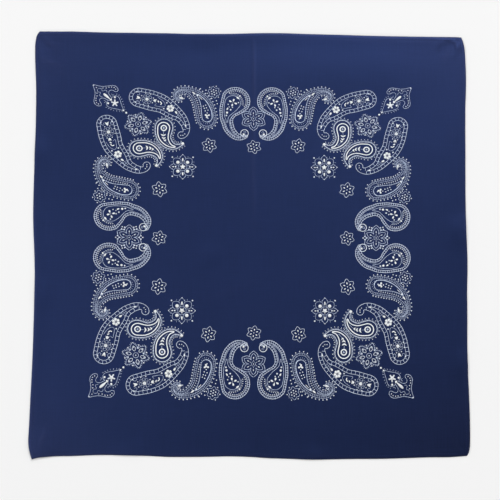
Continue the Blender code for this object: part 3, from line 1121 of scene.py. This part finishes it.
# %% Feathered paisley
FEATHER_ROWS = ((46.8, 121.4, 9.9), (49.5, 132.8, 9.8), (52.2, 139.1, 8.7), (55.0, 143.2, 7.4),
                (58.3, 146.5, 6.2), (61.8, 149.0, 5.1), (66.2, 151.0, 4.0), (70.4, 151.9, 3.3),
                (75.0, 151.1, 3.0), (78.6, 148.0, 2.8), (78.8, 144.4, 2.6), (76.6, 141.8, 2.3),
                (73.5, 142.2, 1.9))
FEATHER_HEART = ((46.5, 123.6, 5.2), (46.9, 127.5, 5.2), (47.8, 131.5, 4.8), (49.0, 135.6, 4.0),
                 (50.9, 139.7, 3.1), (53.2, 143.2, 2.1), (55.6, 146.0, 1.2), (58.0, 147.8, 0.4))


def in_hollow(point):
    """True on the side that the feathered paisley curls round."""
    return point[0] > 54.5 and point[1] < 146.5


def feathers(d, drop):
    """The shaded band and tail, the fringe of dots, and the lace inside."""
    rim = drop.edge(0.2)
    d.line(rim, 0.9)
    d.line(drop.edge(2.4), 0.9)
    d.spokes(rim, 1.9, 0.0, -2.3, 0.9)
    tail = drop.line[drop.half < 4.8]
    d.line(tail, 1.0)
    d.spokes(tail, 1.4, -1.6, 1.6, 0.7)
    for pitch, hollow in ((3.7, False), (2.8, True)):
        for point, out in stations(drop.edge(0.0), pitch):
            if in_hollow(point) == hollow:
                d.dash(point, point + out * 0.9, 0.8)
                d.dot(*(point + out * 1.4), 0.56)
    # A lace of beads beside the hollow, and dashes below the heart.
    for point, out in stations(drop.edge(4.3), 2.3):
        if in_hollow(point + out * 2) and point[1] > 121:
            d.dot(*point, 0.5)
            d.dash(point - out * 1.2, point - out * 2.2, 0.9)
        elif point[1] < 122:
            d.dash(point, point - out * 1.2, 1.0)


def feathered_paisley():
    d = Drawing()
    feathers(d, Paisley(FEATHER_ROWS))
    outline = Paisley(FEATHER_HEART).edge(0.0, 0.8)
    bold = outline[:, 0] < np.interp(outline[:, 1], *np.array(FEATHER_HEART).T[1::-1])
    d.line(outline, np.where(bold, 3.0, 1.8))
    for degrees in (18, 162, 285):
        d.drop(*spot(1.3, degrees, (46.3, 125.2)), 2.9, 1.8, degrees, 0.5)
    d.dot(45.6, 122.4, 0.6)
    d.beads(0.58, [(46.5, 128.0), (50.5, 135.2), (49.5, 132.9), (48.5, 130.2), (45.7, 131.1),
                   (47.3, 133.6), (48.2, 136.4)])
    # The curl's bright core and its rays, and the seed and beads that lead to the heart.
    d.drop(73.2, 143.2, 4.4, 1.8, 190, 0.3)
    for x, y, degrees in around(5, 1.7, 40, (71.8, 144.8)):
        d.dash((x, y), spot(1.5, degrees, (x, y)), 0.8)
    d.drop(60.7, 149.0, 4.4, 1.6, 216, 0.3)
    d.dot(56.7, 146.7, 0.85)
    d.dash((54.9, 145.3), (51.9, 142.3), 2.0, FULL)
    d.dash((51.4, 146.8), (49.6, 149.2), 0.9)
    d.beads(0.6, [(48.3, 152.6), (54.0, 154.0), (37.4, 141.6), (36.4, 138.4)])
    return d


# %% Curled side paisley
SIDE_ROWS = ((18.5, 141.0, 14.6), (21.5, 136.5, 12.6), (25.0, 130.9, 9.7), (26.4, 127.1, 7.8),
             (27.1, 123.3, 6.6), (26.6, 118.5, 5.4), (25.2, 113.2, 5.1), (23.0, 109.0, 4.4),
             (20.4, 106.2, 4.0), (17.8, 104.2, 3.5), (14.6, 103.1, 3.0), (11.0, 102.9, 2.1),
             (7.6, 103.9, 1.4))
SIDE_HEART = ((21.2, 139.0, 7.9), (23.6, 134.0, 6.6), (25.9, 129.0, 4.2), (27.0, 125.4, 2.4),
              (27.0, 121.5, 1.1), (26.8, 118.0, 0.3))
CROSS_FLOWER = (20.9, 139.7)


def side_paisley():
    d = Drawing()
    drop, heart = Paisley(SIDE_ROWS), Paisley(SIDE_HEART)
    rim = drop.edge(0.0)
    d.line(rim, 1.8, 0.3)
    d.line(drop.edge(2.3), 1.65, 0.3)
    d.spokes(rim, 2.3, 0.5, -2.1, 1.5)
    # A third line and a second row of rungs, only where the drop is narrow.
    low = [point for point in drop.edge(3.4, 0.9) if point[1] < 122]
    cut = max(range(1, len(low)), key=lambda k: np.hypot(*(low[k] - low[k - 1])))
    d.line(low[cut:] + low[:cut], 1.1)
    d.spokes(rim, 2.3, -2.0, -3.4, 1.2, skip=lambda point: point[1] > 119)
    d.line(heart.edge(0.0), 1.4)
    # Lace between the band and the heart, over the head.
    d.dots(drop.edge(3.7), 2.1, 0.0, 0.5, skip=lambda point: point[1] < 135 or point[0] > 25)
    lace = [point for point in heart.edge(-1.5, 0.8) if point[0] < 24 and point[1] > 137]
    d.line(lace, 0.9)
    d.dots(lace, 2.0, 1.2, 0.45)
    # Leaves, a cross flower and a string of beads fill the heart.
    d.drop(15.8, 144.4, 3.4, 1.8, 38, 0.3)
    d.dot(13.9, 146.5, 0.85)
    for x, y in ((23.4, 140.8), (20.2, 141.9), (21.6, 137.0), (18.2, 138.6)):
        angle = math.degrees(math.atan2(y - CROSS_FLOWER[1], x - CROSS_FLOWER[0]))
        d.drop(x, y, 3.0, 1.7, angle, 0.45)
    d.dot(*CROSS_FLOWER, 0.35)
    for x, y, radius in ((25.7, 137.6, 0.6), (15.4, 139.5, 0.65), (21.4, 134.4, 0.65),
                         (24.7, 134.8, 0.5), (23.2, 131.8, 0.8), (26.9, 128.8, 1.1),
                         (27.5, 125.8, 0.8)):
        d.dot(x, y, radius)
    d.drop(26.5, 132.7, 2.8, 1.5, 120, 0.3)
    # The curl's own ring and seed.
    d.line(circle(3.8, (9.3, 107.2)), 2.4, 0.6)
    d.drop(10.1, 106.1, 2.4, 1.7, 40, 0.2)
    d.line(circle(1.0, (9.1, 108.3), 0.5), 1.0)
    return d


print("shapes in a paisley:", [len(make().faces) for make in
                               (long_paisley, small_paisley, feathered_paisley, side_paisley)])

# %% [markdown]
# ## Laying the print on the cloth
#
# Cloth gives a little under the screen, so the border comes out slightly bent.  A short
# formula turns the drawing's places into millimetres on the cloth.  The height there could be
# found by casting rays at the sheet, but it is quicker to read it from the sheet's own grid,
# and either way the ink follows every fold.

# %% From the drawing to the cloth
BORDER_HALF = 160     # about the border's half width, in the drawing's units


def on_cloth(points):
    """Place in mm on the cloth of points of the drawing.

    The numbers were fitted by a program to the flowers' real places, and rounded."""
    x, y = points.T / BORDER_HALF
    return (5.9 + 203.2 * x - 2.3 * x * y - 2.6 * x**2 - 0.4 * y**2 + 0.7 * x**2 * y,
            9.3 - 0.5 * x + 203.2 * y - 0.7 * x * y + 1.8 * x**2 - 7.0 * y**2 - 0.8 * x * y**2)


# %% Height of the sheet anywhere
GRID_U, GRID_V = ACROSS / MEAN_WIDTH, UP / MEAN_HEIGHT
GRID_HEIGHT = cloth_top(*np.meshgrid(GRID_U, GRID_V))[2]


def between_lines(lines, at):
    """Which two grid lines each place lies between, and its share of the way."""
    k = np.clip(np.searchsorted(lines, at) - 1, 0, len(lines) - 2)
    return k, (at - lines[k]) / (lines[k + 1] - lines[k])


def cloth_height(x, y):
    """Height in mm of the modelled sheet at places x, y in mm."""
    u, v = x / MEAN_WIDTH + 0.5, y / MEAN_HEIGHT + 0.5
    for _ in range(6):          # each round of correction brings u, v nearer to x, y
        px, py = plan(u, v)
        u, v = u + (x - px) / MEAN_WIDTH, v + (y - py) / MEAN_HEIGHT
    i, s = between_lines(GRID_U, u)
    j, t = between_lines(GRID_V, v)
    return ((1 - s) * (1 - t) * GRID_HEIGHT[j, i] + s * (1 - t) * GRID_HEIGHT[j, i + 1]
            + (1 - s) * t * GRID_HEIGHT[j + 1, i] + s * t * GRID_HEIGHT[j + 1, i + 1])


print("sheet's height at the middle in mm:", round(float(cloth_height(0.0, 0.0)), 2))

# %% Print a motif
INK_RISE = 0.07         # lowest level of the ink's top above the sheet, mm
INK_FILM = 0.06         # thickness of the ink, mm
INK_STEP = 0.003        # from one level of strokes to the next, mm
QUARTERS = (1, 1), (-1, 1), (-1, -1), (1, -1)
LENGTHWISE, CROSSWISE = QUARTERS[::3], QUARTERS[:2]     # for what sits on a middle line


def place_motif(points, across, up, over, wide, high, turn):
    """Turn a motif over the quarter's diagonal or not, then stretch, turn and shift it."""
    if over:
        points = points[:, ::-1]
    middle = (points.min(axis=0) + points.max(axis=0)) / 2
    return turned(points - middle, turn) * (wide, high) + middle + (across, up)


def print_motif(name, drawing, rows, quarters=QUARTERS):
    """Join every printing of one motif into one object, mirrored into the quarters."""
    source = np.vstack(drawing.points)
    ink, laid = np.concatenate(drawing.inks), np.concatenate(drawing.laid)
    printings = []
    for row in rows:
        points = place_motif(source, *row)
        for across, up in quarters:
            x, y = on_cloth(points * (across, up))
            high = cloth_height(x, y) + INK_RISE + INK_STEP * (laid + STEPS * ink)
            step = -1 if row[2] ^ (across * up < 0) else 1
            printings.append((np.stack([x, y, high], axis=1),
                              [face[::step] for face in drawing.faces]))
    piece = join_copies("print_" + name, printings, ink=np.tile(ink, len(printings)))
    return thicken(piece, "ink film", INK_FILM)


def moved(drawing, centre, degrees=0.0):
    d = Drawing()
    d.stamp(drawing, centre, degrees)
    return d


# %% All the motifs
# Columns: across and up in drawing units, whether the motif is turned over the diagonal, how
# much wider and higher it prints, and degrees turned.  Most rows come from a program that
# matched each motif to the real border.  They are rounded, and some were changed.
AS_DRAWN = (0, 0, False, 1, 1, 0)
prints = [
    print_motif("corner_leaves", moved(corner_leaf(), (130.2, 129.2), 40.9), [AS_DRAWN]),
    print_motif("corner_flowers", moved(corner_flower(), (115.7, 115.2)),
                [(0, 0, False, 1.007, 0.934, -4.5)]),
    print_motif("long_paisleys", long_paisley(),
                [(0.2, -0.2, False, 0.99, 0.99, 0), (2.7, -0.1, True, 1.015, 0.97, 0)]),
    print_motif("small_paisleys", small_paisley(),
                [AS_DRAWN, (2.2, 0.5, True, 1.03, 0.95, -2)]),
    print_motif("star_flowers", moved(star_flower(), (71.1, 71.8)),
                [(0, 0, False, 1.026, 0.98, 0)]),
    print_motif("feathered_paisleys", feathered_paisley(),
                [(0, 0.3, False, 0.985, 0.98, 1.3), (2.8, 0, True, 0.985, 0.965, -1.5)]),
    print_motif("ball_flowers", ball_flower(),
                [(39.9, 150.2, False, 0.91, 0.92, 4.3), (152.8, 40.4, True, 0.95, 0.92, 4)]),
    print_motif("side_paisleys", side_paisley(),
                [AS_DRAWN, (2.2, 1.4, True, 1.01, 0.965, 2.8)]),
    print_motif("tiny_flowers", tiny_flower(),
                [(44.7, 94.3, False, 1.01, 1.02, -19), (94.0, 48.5, False, 1.05, 1.05, -16.5)]),
    print_motif("middle_flowers_lengthwise", side_flower(False),
                [(-0.2, 122.6, False, 0.993, 0.938, 0.8)], LENGTHWISE),
    print_motif("middle_flowers_crosswise", side_flower(True),
                [(123.4, -0.4, False, 1.013, 0.953, -0.6)], CROSSWISE),
    print_motif("tiny_flowers_lengthwise", tiny_flower(),
                [(0.1, 92.9, False, 0.99, 0.95, 2.6)], LENGTHWISE),
    print_motif("tiny_flowers_crosswise", tiny_flower(),
                [(94.0, -0.4, False, 0.99, 0.96, 3.5)], CROSSWISE),
]
for piece in prints:
    print(piece.name, len(piece.data.polygons), "faces")

# %% [markdown]
# ## Floor, light and camera
#
# The bandana lies on a plain pale floor and is seen from straight above.  One large soft light
# makes the low folds readable, and two weaker ones keep the other sides from going dark.  An
# even world light alone would be simpler, but then no fold would show.

# %% Floor
FLOOR_HALF = 20.0     # from its middle to its edge, metres: far enough that it seems endless
FLOOR_DROP = 0.3      # below the origin, so that nothing of the cloth sinks into it, mm
FLOOR_GREY = 0.90


def make_floor():
    bm = bmesh.new()
    bmesh.ops.create_grid(bm, x_segments=1, y_segments=1, size=FLOOR_HALF)
    bmesh.ops.translate(bm, verts=bm.verts, vec=(0, 0, -FLOOR_DROP * MM))
    floor = make_object("pale_floor", bm, smooth=False)
    material = bpy.data.materials.new("pale floor")
    material.use_nodes = True
    shader = material.node_tree.nodes["Principled BSDF"]
    shader.inputs["Base Color"].default_value = (FLOOR_GREY, FLOOR_GREY, FLOOR_GREY, 1)
    shader.inputs["Roughness"].default_value = 1.0
    shader.inputs["Specular IOR Level"].default_value = 0.0
    floor.data.materials.append(material)
    return floor


make_floor()

# %% Light
ROOM_LIGHT = 0.31       # strength of the even light from all round
SOFTBOX_AWAY = 8.0      # from the bandana's middle, metres
SOFTBOX_SIZE = 3.0      # side of its square, metres
# Columns: name, direction in degrees round from the right and down from overhead, and watts.
SOFTBOXES = (
    ("key softbox, far side", 64, 35, 372),
    ("fill softbox, left", 188, 45, 190),
    ("low fill, near right", 320, 65, 76),
)


def add_softbox(name, around_z, down, watts):
    """A square light that looks at the bandana's middle."""
    lamp = bpy.data.lights.new(name, "AREA")
    lamp.shape = "SQUARE"
    lamp.size = SOFTBOX_SIZE
    lamp.energy = watts
    box = bpy.data.objects.new(name, lamp)
    a, b = math.radians(around_z), math.radians(down)
    toward = Vector((math.sin(b) * math.cos(a), math.sin(b) * math.sin(a), math.cos(b)))
    box.location = toward * SOFTBOX_AWAY
    box.rotation_euler = (-box.location).to_track_quat("-Z", "Y").to_euler()
    bpy.context.scene.collection.objects.link(box)


def light_the_room():
    world = bpy.data.worlds.new("even room light")
    world.use_nodes = True
    background = world.node_tree.nodes["Background"]
    background.inputs["Color"].default_value = (1.0, 1.0, 1.0, 1)
    background.inputs["Strength"].default_value = ROOM_LIGHT
    bpy.context.scene.world = world
    bpy.context.scene.view_settings.view_transform = "Standard"
    for row in SOFTBOXES:
        add_softbox(*row)


light_the_room()

# %% Camera
LENS = 85.0             # focal length, mm
SENSOR = 36.0           # width of what is behind the lens, mm
VIEW_WIDTH = 635.0      # what the frame spans at the height of the ground, mm
VIEW_MIDDLE = (0.95, -5.78)     # the place that the camera is above, mm


def add_camera():
    lens = bpy.data.cameras.new("camera from above")
    lens.lens = LENS
    lens.sensor_width = SENSOR
    camera = bpy.data.objects.new("camera from above", lens)
    camera.location = [c * MM for c in (*VIEW_MIDDLE, VIEW_WIDTH * LENS / SENSOR)]
    bpy.context.scene.collection.objects.link(camera)
    bpy.context.scene.camera = camera
    return camera


print("camera height in m:", round(add_camera().location.z, 3))

# %% [markdown]
# ## Finishes
#
# The cloth is a plain weave: each thread goes over one and under the next.  Such an effect
# could be painted, but a small graph of nodes stays sharp at any distance.  Effects that more
# than one finish needs are built once as node groups: the weave, the uneven dye with a painted
# light gradient, and the fading that folds and hems get, which is partly wear and partly a
# painted highlight.  All of them read the piece's own coordinates, so they stay on the cloth.

# %% Adding nodes
class Graph:
    """Adds nodes to one tree.  A value is a number, a colour or another node's socket."""

    def __init__(self, tree):
        self.tree = tree

    def connect(self, value, socket):
        if isinstance(value, bpy.types.NodeSocket):
            self.tree.links.new(value, socket)
        else:
            socket.default_value = value

    def node(self, kind, values, **settings):
        """The outputs of a new node.  The values are given for its inputs' names or numbers."""
        node = self.tree.nodes.new("ShaderNode" + kind)
        for label, setting in settings.items():
            setattr(node, label, setting)
        for key, value in values.items():
            self.connect(value, node.inputs[key])
        return node.outputs

    def math(self, operation, *values):
        return self.node("Math", dict(enumerate(values)), operation=operation)[0]

    def mix(self, share, first, second, blend="MIX"):
        return self.node("Mix", {0: share, 6: first, 7: second}, data_type="RGBA",
                         blend_type=blend)[2]

    def remap(self, value, low, high, new_low=0.0, new_high=1.0):
        return self.node("MapRange", dict(enumerate((value, low, high, new_low, new_high))))[0]

    def noise(self, place, scale, detail=2.0):
        """Noise whose grain may be longer one way: scale is waves a metre in x, y and z."""
        stretched = self.node("Mapping", {"Vector": place, "Scale": scale})[0]
        return self.node("TexNoise", {"Vector": stretched, "Scale": 1.0, "Detail": detail})["Fac"]

    def kept(self, label):
        """A number kept on the vertices."""
        return self.node("Attribute", {}, attribute_name=label)["Fac"]

    def bump(self, height, distance, strength):
        return self.node("Bump", {"Strength": strength, "Distance": distance,
                                  "Height": height})[0]

    def use(self, group, **values):
        return self.node("Group", values, node_tree=group)


def start_group(name, inputs, outputs):
    """A shader node group: its graph, what comes in and what goes out.

    The inputs are places, given as None, and numbers, given by their defaults."""
    tree = bpy.data.node_groups.new(name, "ShaderNodeTree")
    for label, value in inputs.items():
        kind = "NodeSocketVector" if value is None else "NodeSocketFloat"
        socket = tree.interface.new_socket(label, in_out="INPUT", socket_type=kind)
        if value is not None:
            socket.default_value = value
    for label in outputs:
        tree.interface.new_socket(label, in_out="OUTPUT", socket_type="NodeSocketFloat")
    return (Graph(tree), tree.nodes.new("NodeGroupInput").outputs,
            tree.nodes.new("NodeGroupOutput").inputs)


# %% Group: plain weave
THREAD_PITCH = 0.00045      # from one thread to the next, metres
WANDER = 0.8                # how far a thread strays from its straight line, in threads
WANDER_WAVES = 70           # a metre
CROSSING = 0.12             # how softly one thread gives way to the other


def plain_weave_group():
    g, start, end = start_group("plain weave", {"Place": None, "Pitch": THREAD_PITCH},
                                ["Height", "Gap"])
    wander = g.noise(start["Place"], (WANDER_WAVES,) * 3)
    parts = g.node("SeparateXYZ", {0: start["Place"]})
    waves = []
    for axis, stray in ((0, -WANDER), (1, WANDER)):
        count = g.math("DIVIDE", parts[axis], start["Pitch"])
        count = g.math("MULTIPLY_ADD", wander, stray, count)
        waves.append(g.math("COSINE", g.math("MULTIPLY", count, math.pi)))
    # Where the two waves agree in sign the warp thread is on top, elsewhere the weft.
    on_top = g.remap(g.math("MULTIPLY", *waves), -CROSSING, CROSSING)
    warp, weft = (g.math("ABSOLUTE", wave) for wave in waves)
    lower = g.math("MULTIPLY", weft, g.math("SUBTRACT", 1.0, on_top))
    g.connect(g.math("MULTIPLY_ADD", warp, on_top, lower), end["Height"])
    gap = g.math("MULTIPLY", g.math("SUBTRACT", 1.0, warp), g.math("SUBTRACT", 1.0, weft))
    g.connect(gap, end["Gap"])
    return g.tree


# %% Group: uneven dye and painted light
HALF_WIDTH = 0.27           # from the bandana's middle to near its edge, metres
THREAD_GRAIN = (1400, 26)   # waves a metre across the threads and along them
CLOUD_WAVES = (9, 11, 9)    # a metre in x, y and z


def dye_and_painted_light_group():
    """Darker and lighter threads, slow clouds and a painted light gradient across the square,
    round a mean of 1.
    """
    g, start, end = start_group(
        "uneven dye and painted light", {"Place": None, "Threads": 0.2, "Clouds": 0.1, "Fade": 0.0}, ["Shade"])
    place = start["Place"]
    parts = g.node("SeparateXYZ", {0: place})
    x, y = (g.math("DIVIDE", parts[axis], HALF_WIDTH) for axis in (0, 1))
    # The painted light gradient, fitted by a program and rounded: 0.7 x y + 0.95 y cubed - 0.3 x
    # cubed.
    slope = g.math("MULTIPLY", g.math("MULTIPLY", x, y), 0.7)
    for part, share in ((y, 0.95), (x, -0.3)):
        slope = g.math("MULTIPLY_ADD", g.math("POWER", part, 3.0), share, slope)
    across, along = THREAD_GRAIN
    streaks = g.math("ADD", g.noise(place, (across, along, along)),
                     g.noise(place, (along, across, along)))
    streaks = g.math("SUBTRACT", streaks, 1.0)
    clouds = g.math("SUBTRACT", g.noise(place, CLOUD_WAVES, 3.0), 0.5)
    shade = g.math("MULTIPLY_ADD", streaks, start["Threads"], 1.0)
    shade = g.math("MULTIPLY_ADD", clouds, start["Clouds"], shade)
    # Painted light and shade: lighter towards the top, most of all at the upper right, and darkest
    # at the lower right.
    shade = g.math("MULTIPLY_ADD", slope, start["Fade"], shade)
    g.connect(shade, end["Shade"])
    return g.tree


# %% Group: rubbed folds and painted highlights
# Columns: where the wear and highlight start, where they are full, and how much they are at each.
# The first two go by mm from the outer edge, the last by nearness to a corner.  The edge row
# is partly wear and partly a painted highlight on the raised hem; the band and corner rows are
# painted highlights.
EDGE_WEAR_AND_HIGHLIGHT = (3.8, 0.6, 0.0, 1.0)
HEM_BAND_HIGHLIGHT = (9.0, 1.5, 0.0, 0.60)
CORNER_HIGHLIGHT = (0.50, 1.0, 0.0, 0.60)
SPECKLE_WAVES = 520         # a metre
# The speckle breaks up the wear and the painted highlights alike.
SPECKLE = (0.3, 0.7, 0.45, 1.0)     # two levels of the noise, and the wear's share at each
GROOVE = (0.9, 0.2)         # half width of the stitches' groove and of its bottom, mm


def rubbed_and_lit_group():
    """How much a folded edge, a crease or a corner is lightened, 0 to 1, partly by wear and partly
    by a painted highlight; and where the stitches' groove gets painted shade.
    """
    g, start, end = start_group("rubbed folds", {"Place": None, "Amount": 0.5},
                                ["Worn", "GrooveShade"])
    away = g.kept("away_mm")
    parts = g.node("SeparateXYZ", {0: start["Place"]})
    # A painted highlight that grows towards all four corners.
    corner = g.math("ABSOLUTE", g.math("MULTIPLY", parts[0], parts[1]))
    corner = g.remap(g.math("DIVIDE", corner, HALF_WIDTH**2), *CORNER_HIGHLIGHT)
    # A painted highlight in a band along the raised hems, joined with the crease number.
    band_highlight_and_crease = g.math("MAXIMUM", g.remap(away, *HEM_BAND_HIGHLIGHT), g.kept("crease"))
    # The folded edge is partly wear and partly a painted highlight.
    rubbed_and_lit = g.math("ADD", g.math("MAXIMUM", g.remap(away, *EDGE_WEAR_AND_HIGHLIGHT), band_highlight_and_crease), corner)
    speckle = g.remap(g.noise(start["Place"], (SPECKLE_WAVES,) * 3, 3.0), *SPECKLE)
    worn_and_lit = g.math("MULTIPLY", g.math("MULTIPLY", rubbed_and_lit, speckle), start["Amount"])
    g.connect(worn_and_lit, end["Worn"])
    # Where the painted shade of the groove that the stitches pull into the cloth lies.
    off_line = g.math("ABSOLUTE", g.math("SUBTRACT", away, STITCH_LINE))
    g.connect(g.remap(off_line, *GROOVE), end["GrooveShade"])
    return g.tree


WEAVE, DYE_AND_PAINTED_LIGHT, RUBBED_AND_LIT = plain_weave_group(), dye_and_painted_light_group(), rubbed_and_lit_group()
print("groups:", [group.name for group in (WEAVE, DYE_AND_PAINTED_LIGHT, RUBBED_AND_LIT)])


# %% From a graph to a material
def begin_material(name):
    """A new material, its graph and the piece's own coordinates."""
    material = bpy.data.materials.new(name)
    material.use_nodes = True
    g = Graph(material.node_tree)
    return material, g, g.node("TexCoord", {})["Object"]


def finish_material(material, g, values):
    """Give the surface its values, and hand the material back."""
    shader = material.node_tree.nodes["Principled BSDF"]
    for label, value in values.items():
        g.connect(value, shader.inputs[label])
    return material


# %% [markdown]
# ## The cloth's finish
#
# Navy dye is thinnest where hands and folds have rubbed it.  One flat colour would look like
# plastic: here worn places fade, and a painted highlight lightens the raised hems, the fold
# ridges and the corners.  Threads and clouds differ a little, a painted light gradient runs
# across the square, painted shade darkens the gaps between threads and the stitches' groove,
# and the sheen is tinted like the dye.

# %% Navy cotton
NAVY = (0.0104, 0.0180, 0.0590, 1)
# The faded navy serves worn places and the painted highlights alike.
FADED_AND_LIT_NAVY = (0.0290, 0.0330, 0.0770, 1)
# The deep navy is painted shade, for the gaps between threads, the stitches' groove and the
# grooves between a thread's plies.
PAINTED_SHADE_NAVY = (0.004, 0.006, 0.020, 1)
SHINE_TINT = (0.20, 0.33, 1.0, 1)
COTTON_RELIEF = (0.00009, 0.4)      # depth of the weave in metres, and how much of it shows
COTTON_ROUGHNESS = (0.41, 0.33)     # in the gaps and on top of the threads
# Painted shade: how far the gaps between threads and the stitches' groove go to the deep navy.
GAP_SHADE = 0.45                   # how far a gap between threads goes to deep navy
GROOVE_SHADE = 0.25                # the same for the stitches' groove


def navy_cotton(name, amount):
    material, g, place = begin_material(name)
    weave = g.use(WEAVE, Place=place)
    # Besides uneven dye, this paints the light gradient across the square into the colour.
    dye = g.use(DYE_AND_PAINTED_LIGHT, Place=place, Threads=0.45, Clouds=0.14, Fade=0.36)
    rubbed_and_lit = g.use(RUBBED_AND_LIT, Place=place, Amount=amount)
    # Worn places and painted highlights turn to the faded colour.
    colour = g.mix(rubbed_and_lit["Worn"], NAVY, FADED_AND_LIT_NAVY)
    colour = g.mix(1.0, colour, dye["Shade"], "MULTIPLY")
    # Painted shade in the gaps between threads and in the stitches' groove.
    painted_shade = g.math("MULTIPLY", weave["Gap"], GAP_SHADE)
    painted_shade = g.math("MULTIPLY_ADD", rubbed_and_lit["GrooveShade"], GROOVE_SHADE, painted_shade)
    return finish_material(material, g, {
        "Base Color": g.mix(painted_shade, colour, PAINTED_SHADE_NAVY),
        "Roughness": g.remap(weave["Height"], 0.0, 1.0, *COTTON_ROUGHNESS),
        "Specular IOR Level": 0.5,
        "Specular Tint": SHINE_TINT,
        "Normal": g.bump(weave["Height"], *COTTON_RELIEF),
    })


navy = navy_cotton("navy cotton", 0.5)
for piece in (sheet, *hems.values()):
    piece.data.materials.append(navy)

# %% [markdown]
# ## The ink
#
# Pigment sits on top of the threads and hardly reaches the gaps between them, so the white
# lets a little navy through, more where the screen gave less ink.  How much ink a shape holds
# is already kept on its vertices, so one material serves fine lines and full shapes alike.

# %% White ink
THIN_WHITE = (0.65, 0.75, 0.96, 1)       # a fine line, through which the navy shows a little
FULL_WHITE = (0.93, 0.965, 0.99, 1)
INK_RELIEF = (0.00006, 0.4)              # as for the cotton, but the ink half fills the weave
INK_ROUGHNESS = (0.85, 0.65)             # in the gaps and on top of the threads
PATCH_WAVES = 650                        # a metre
PATCHES = (0.56, 0.40)                   # levels of the noise at a patch's rim and in its middle
MISSING = (0.35, 0.08)                   # how bare a patch is in a fine line and in a full shape
GAP_BARE = 0.15                          # how bare the gaps between threads are


def white_ink():
    material, g, place = begin_material("white pigment")
    weave = g.use(WEAVE, Place=place)
    dye = g.use(DYE_AND_PAINTED_LIGHT, Place=place, Threads=0.10, Clouds=0.06)
    held = g.kept("ink")
    colour = g.mix(held, THIN_WHITE, FULL_WHITE)
    colour = g.mix(1.0, colour, dye["Shade"], "MULTIPLY")
    patchy = g.remap(g.noise(place, (PATCH_WAVES,) * 3, 3.0), *PATCHES)
    missing = g.remap(held, 0.0, 1.0, *MISSING)
    bare = g.math("MULTIPLY_ADD", weave["Gap"], GAP_BARE, g.math("MULTIPLY", patchy, missing))
    return finish_material(material, g, {
        "Base Color": g.mix(bare, colour, NAVY),
        "Roughness": g.remap(weave["Height"], 0.0, 1.0, *INK_ROUGHNESS),
        "Specular IOR Level": 0.3,
        "Normal": g.bump(weave["Height"], *INK_RELIEF),
    })


ink = white_ink()
for piece in prints:
    piece.data.materials.append(ink)

# %% [markdown]
# ## The sewing thread
#
# Sewing thread is two or three plies twisted together, so a slanted groove crosses each
# stitch.  Modelled plies would cost many faces for something this small.  The groove is a wave
# that follows two numbers kept on every vertex of a stitch: how far along it lies and how far
# round.

# %% Sewing thread
PLY_LENGTH = 0.55       # mm of thread from one groove to the next
THREAD_NAVY = (0.020, 0.038, 0.135, 1)
THREAD_RELIEF = (0.00005, 0.5)
THREAD_ROUGHNESS = (0.70, 0.42)     # in a groove and on a ridge


def twisted_ply_group():
    """1 on the ridge of a ply and 0 in the groove between two."""
    g, start, end = start_group("twisted ply", {"Length": 0.5}, ["Ridge"])
    turns = g.math("DIVIDE", g.kept("along_mm"), start["Length"])
    turns = g.math("ADD", turns, g.kept("round_share"))
    wave = g.math("SINE", g.math("MULTIPLY", turns, math.tau))
    g.connect(g.math("MULTIPLY_ADD", wave, 0.5, 0.5), end["Ridge"])
    return g.tree


PLY = twisted_ply_group()


def sewing_thread():
    material, g, place = begin_material("navy sewing thread")
    ply = g.use(PLY, Length=PLY_LENGTH)
    dye = g.use(DYE_AND_PAINTED_LIGHT, Place=place, Threads=0.0, Clouds=0.25)
    # Painted shade in the groove between two plies.
    colour = g.mix(ply["Ridge"], PAINTED_SHADE_NAVY, THREAD_NAVY)
    return finish_material(material, g, {
        "Base Color": g.mix(1.0, colour, dye["Shade"], "MULTIPLY"),
        "Roughness": g.remap(ply["Ridge"], 0.0, 1.0, *THREAD_ROUGHNESS),
        "Specular IOR Level": 0.5,
        "Specular Tint": SHINE_TINT,
        "Normal": g.bump(ply["Ridge"], *THREAD_RELIEF),
    })


thread = sewing_thread()
for piece in stitching.values():
    piece.data.materials.append(thread)
print("materials:", [material.name for material in bpy.data.materials])

# %% [markdown]
# ## Tying the pieces to the solids
#
# Every piece rides on the body it belongs to, and the sheet and the hems also stand in for
# the plain solids.  A bandana has one body only.  The sheet is cut as a rectangle, 573 by 559
# mm with what is turned under, and lies on the floor with everything that is sewn or printed
# on it.

# %% Tie the pieces to the solids
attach(sheet, "root")
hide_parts("cloth_panel")
for side, node in (("left", "hem_left"), ("right", "hem_right"), ("lower", "hem_bottom"),
                   ("upper", "hem_top")):
    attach(hems[side], "root")
    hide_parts(node)
for piece in prints:
    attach(piece, "root")
for piece in stitching.values():
    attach(piece, "root")
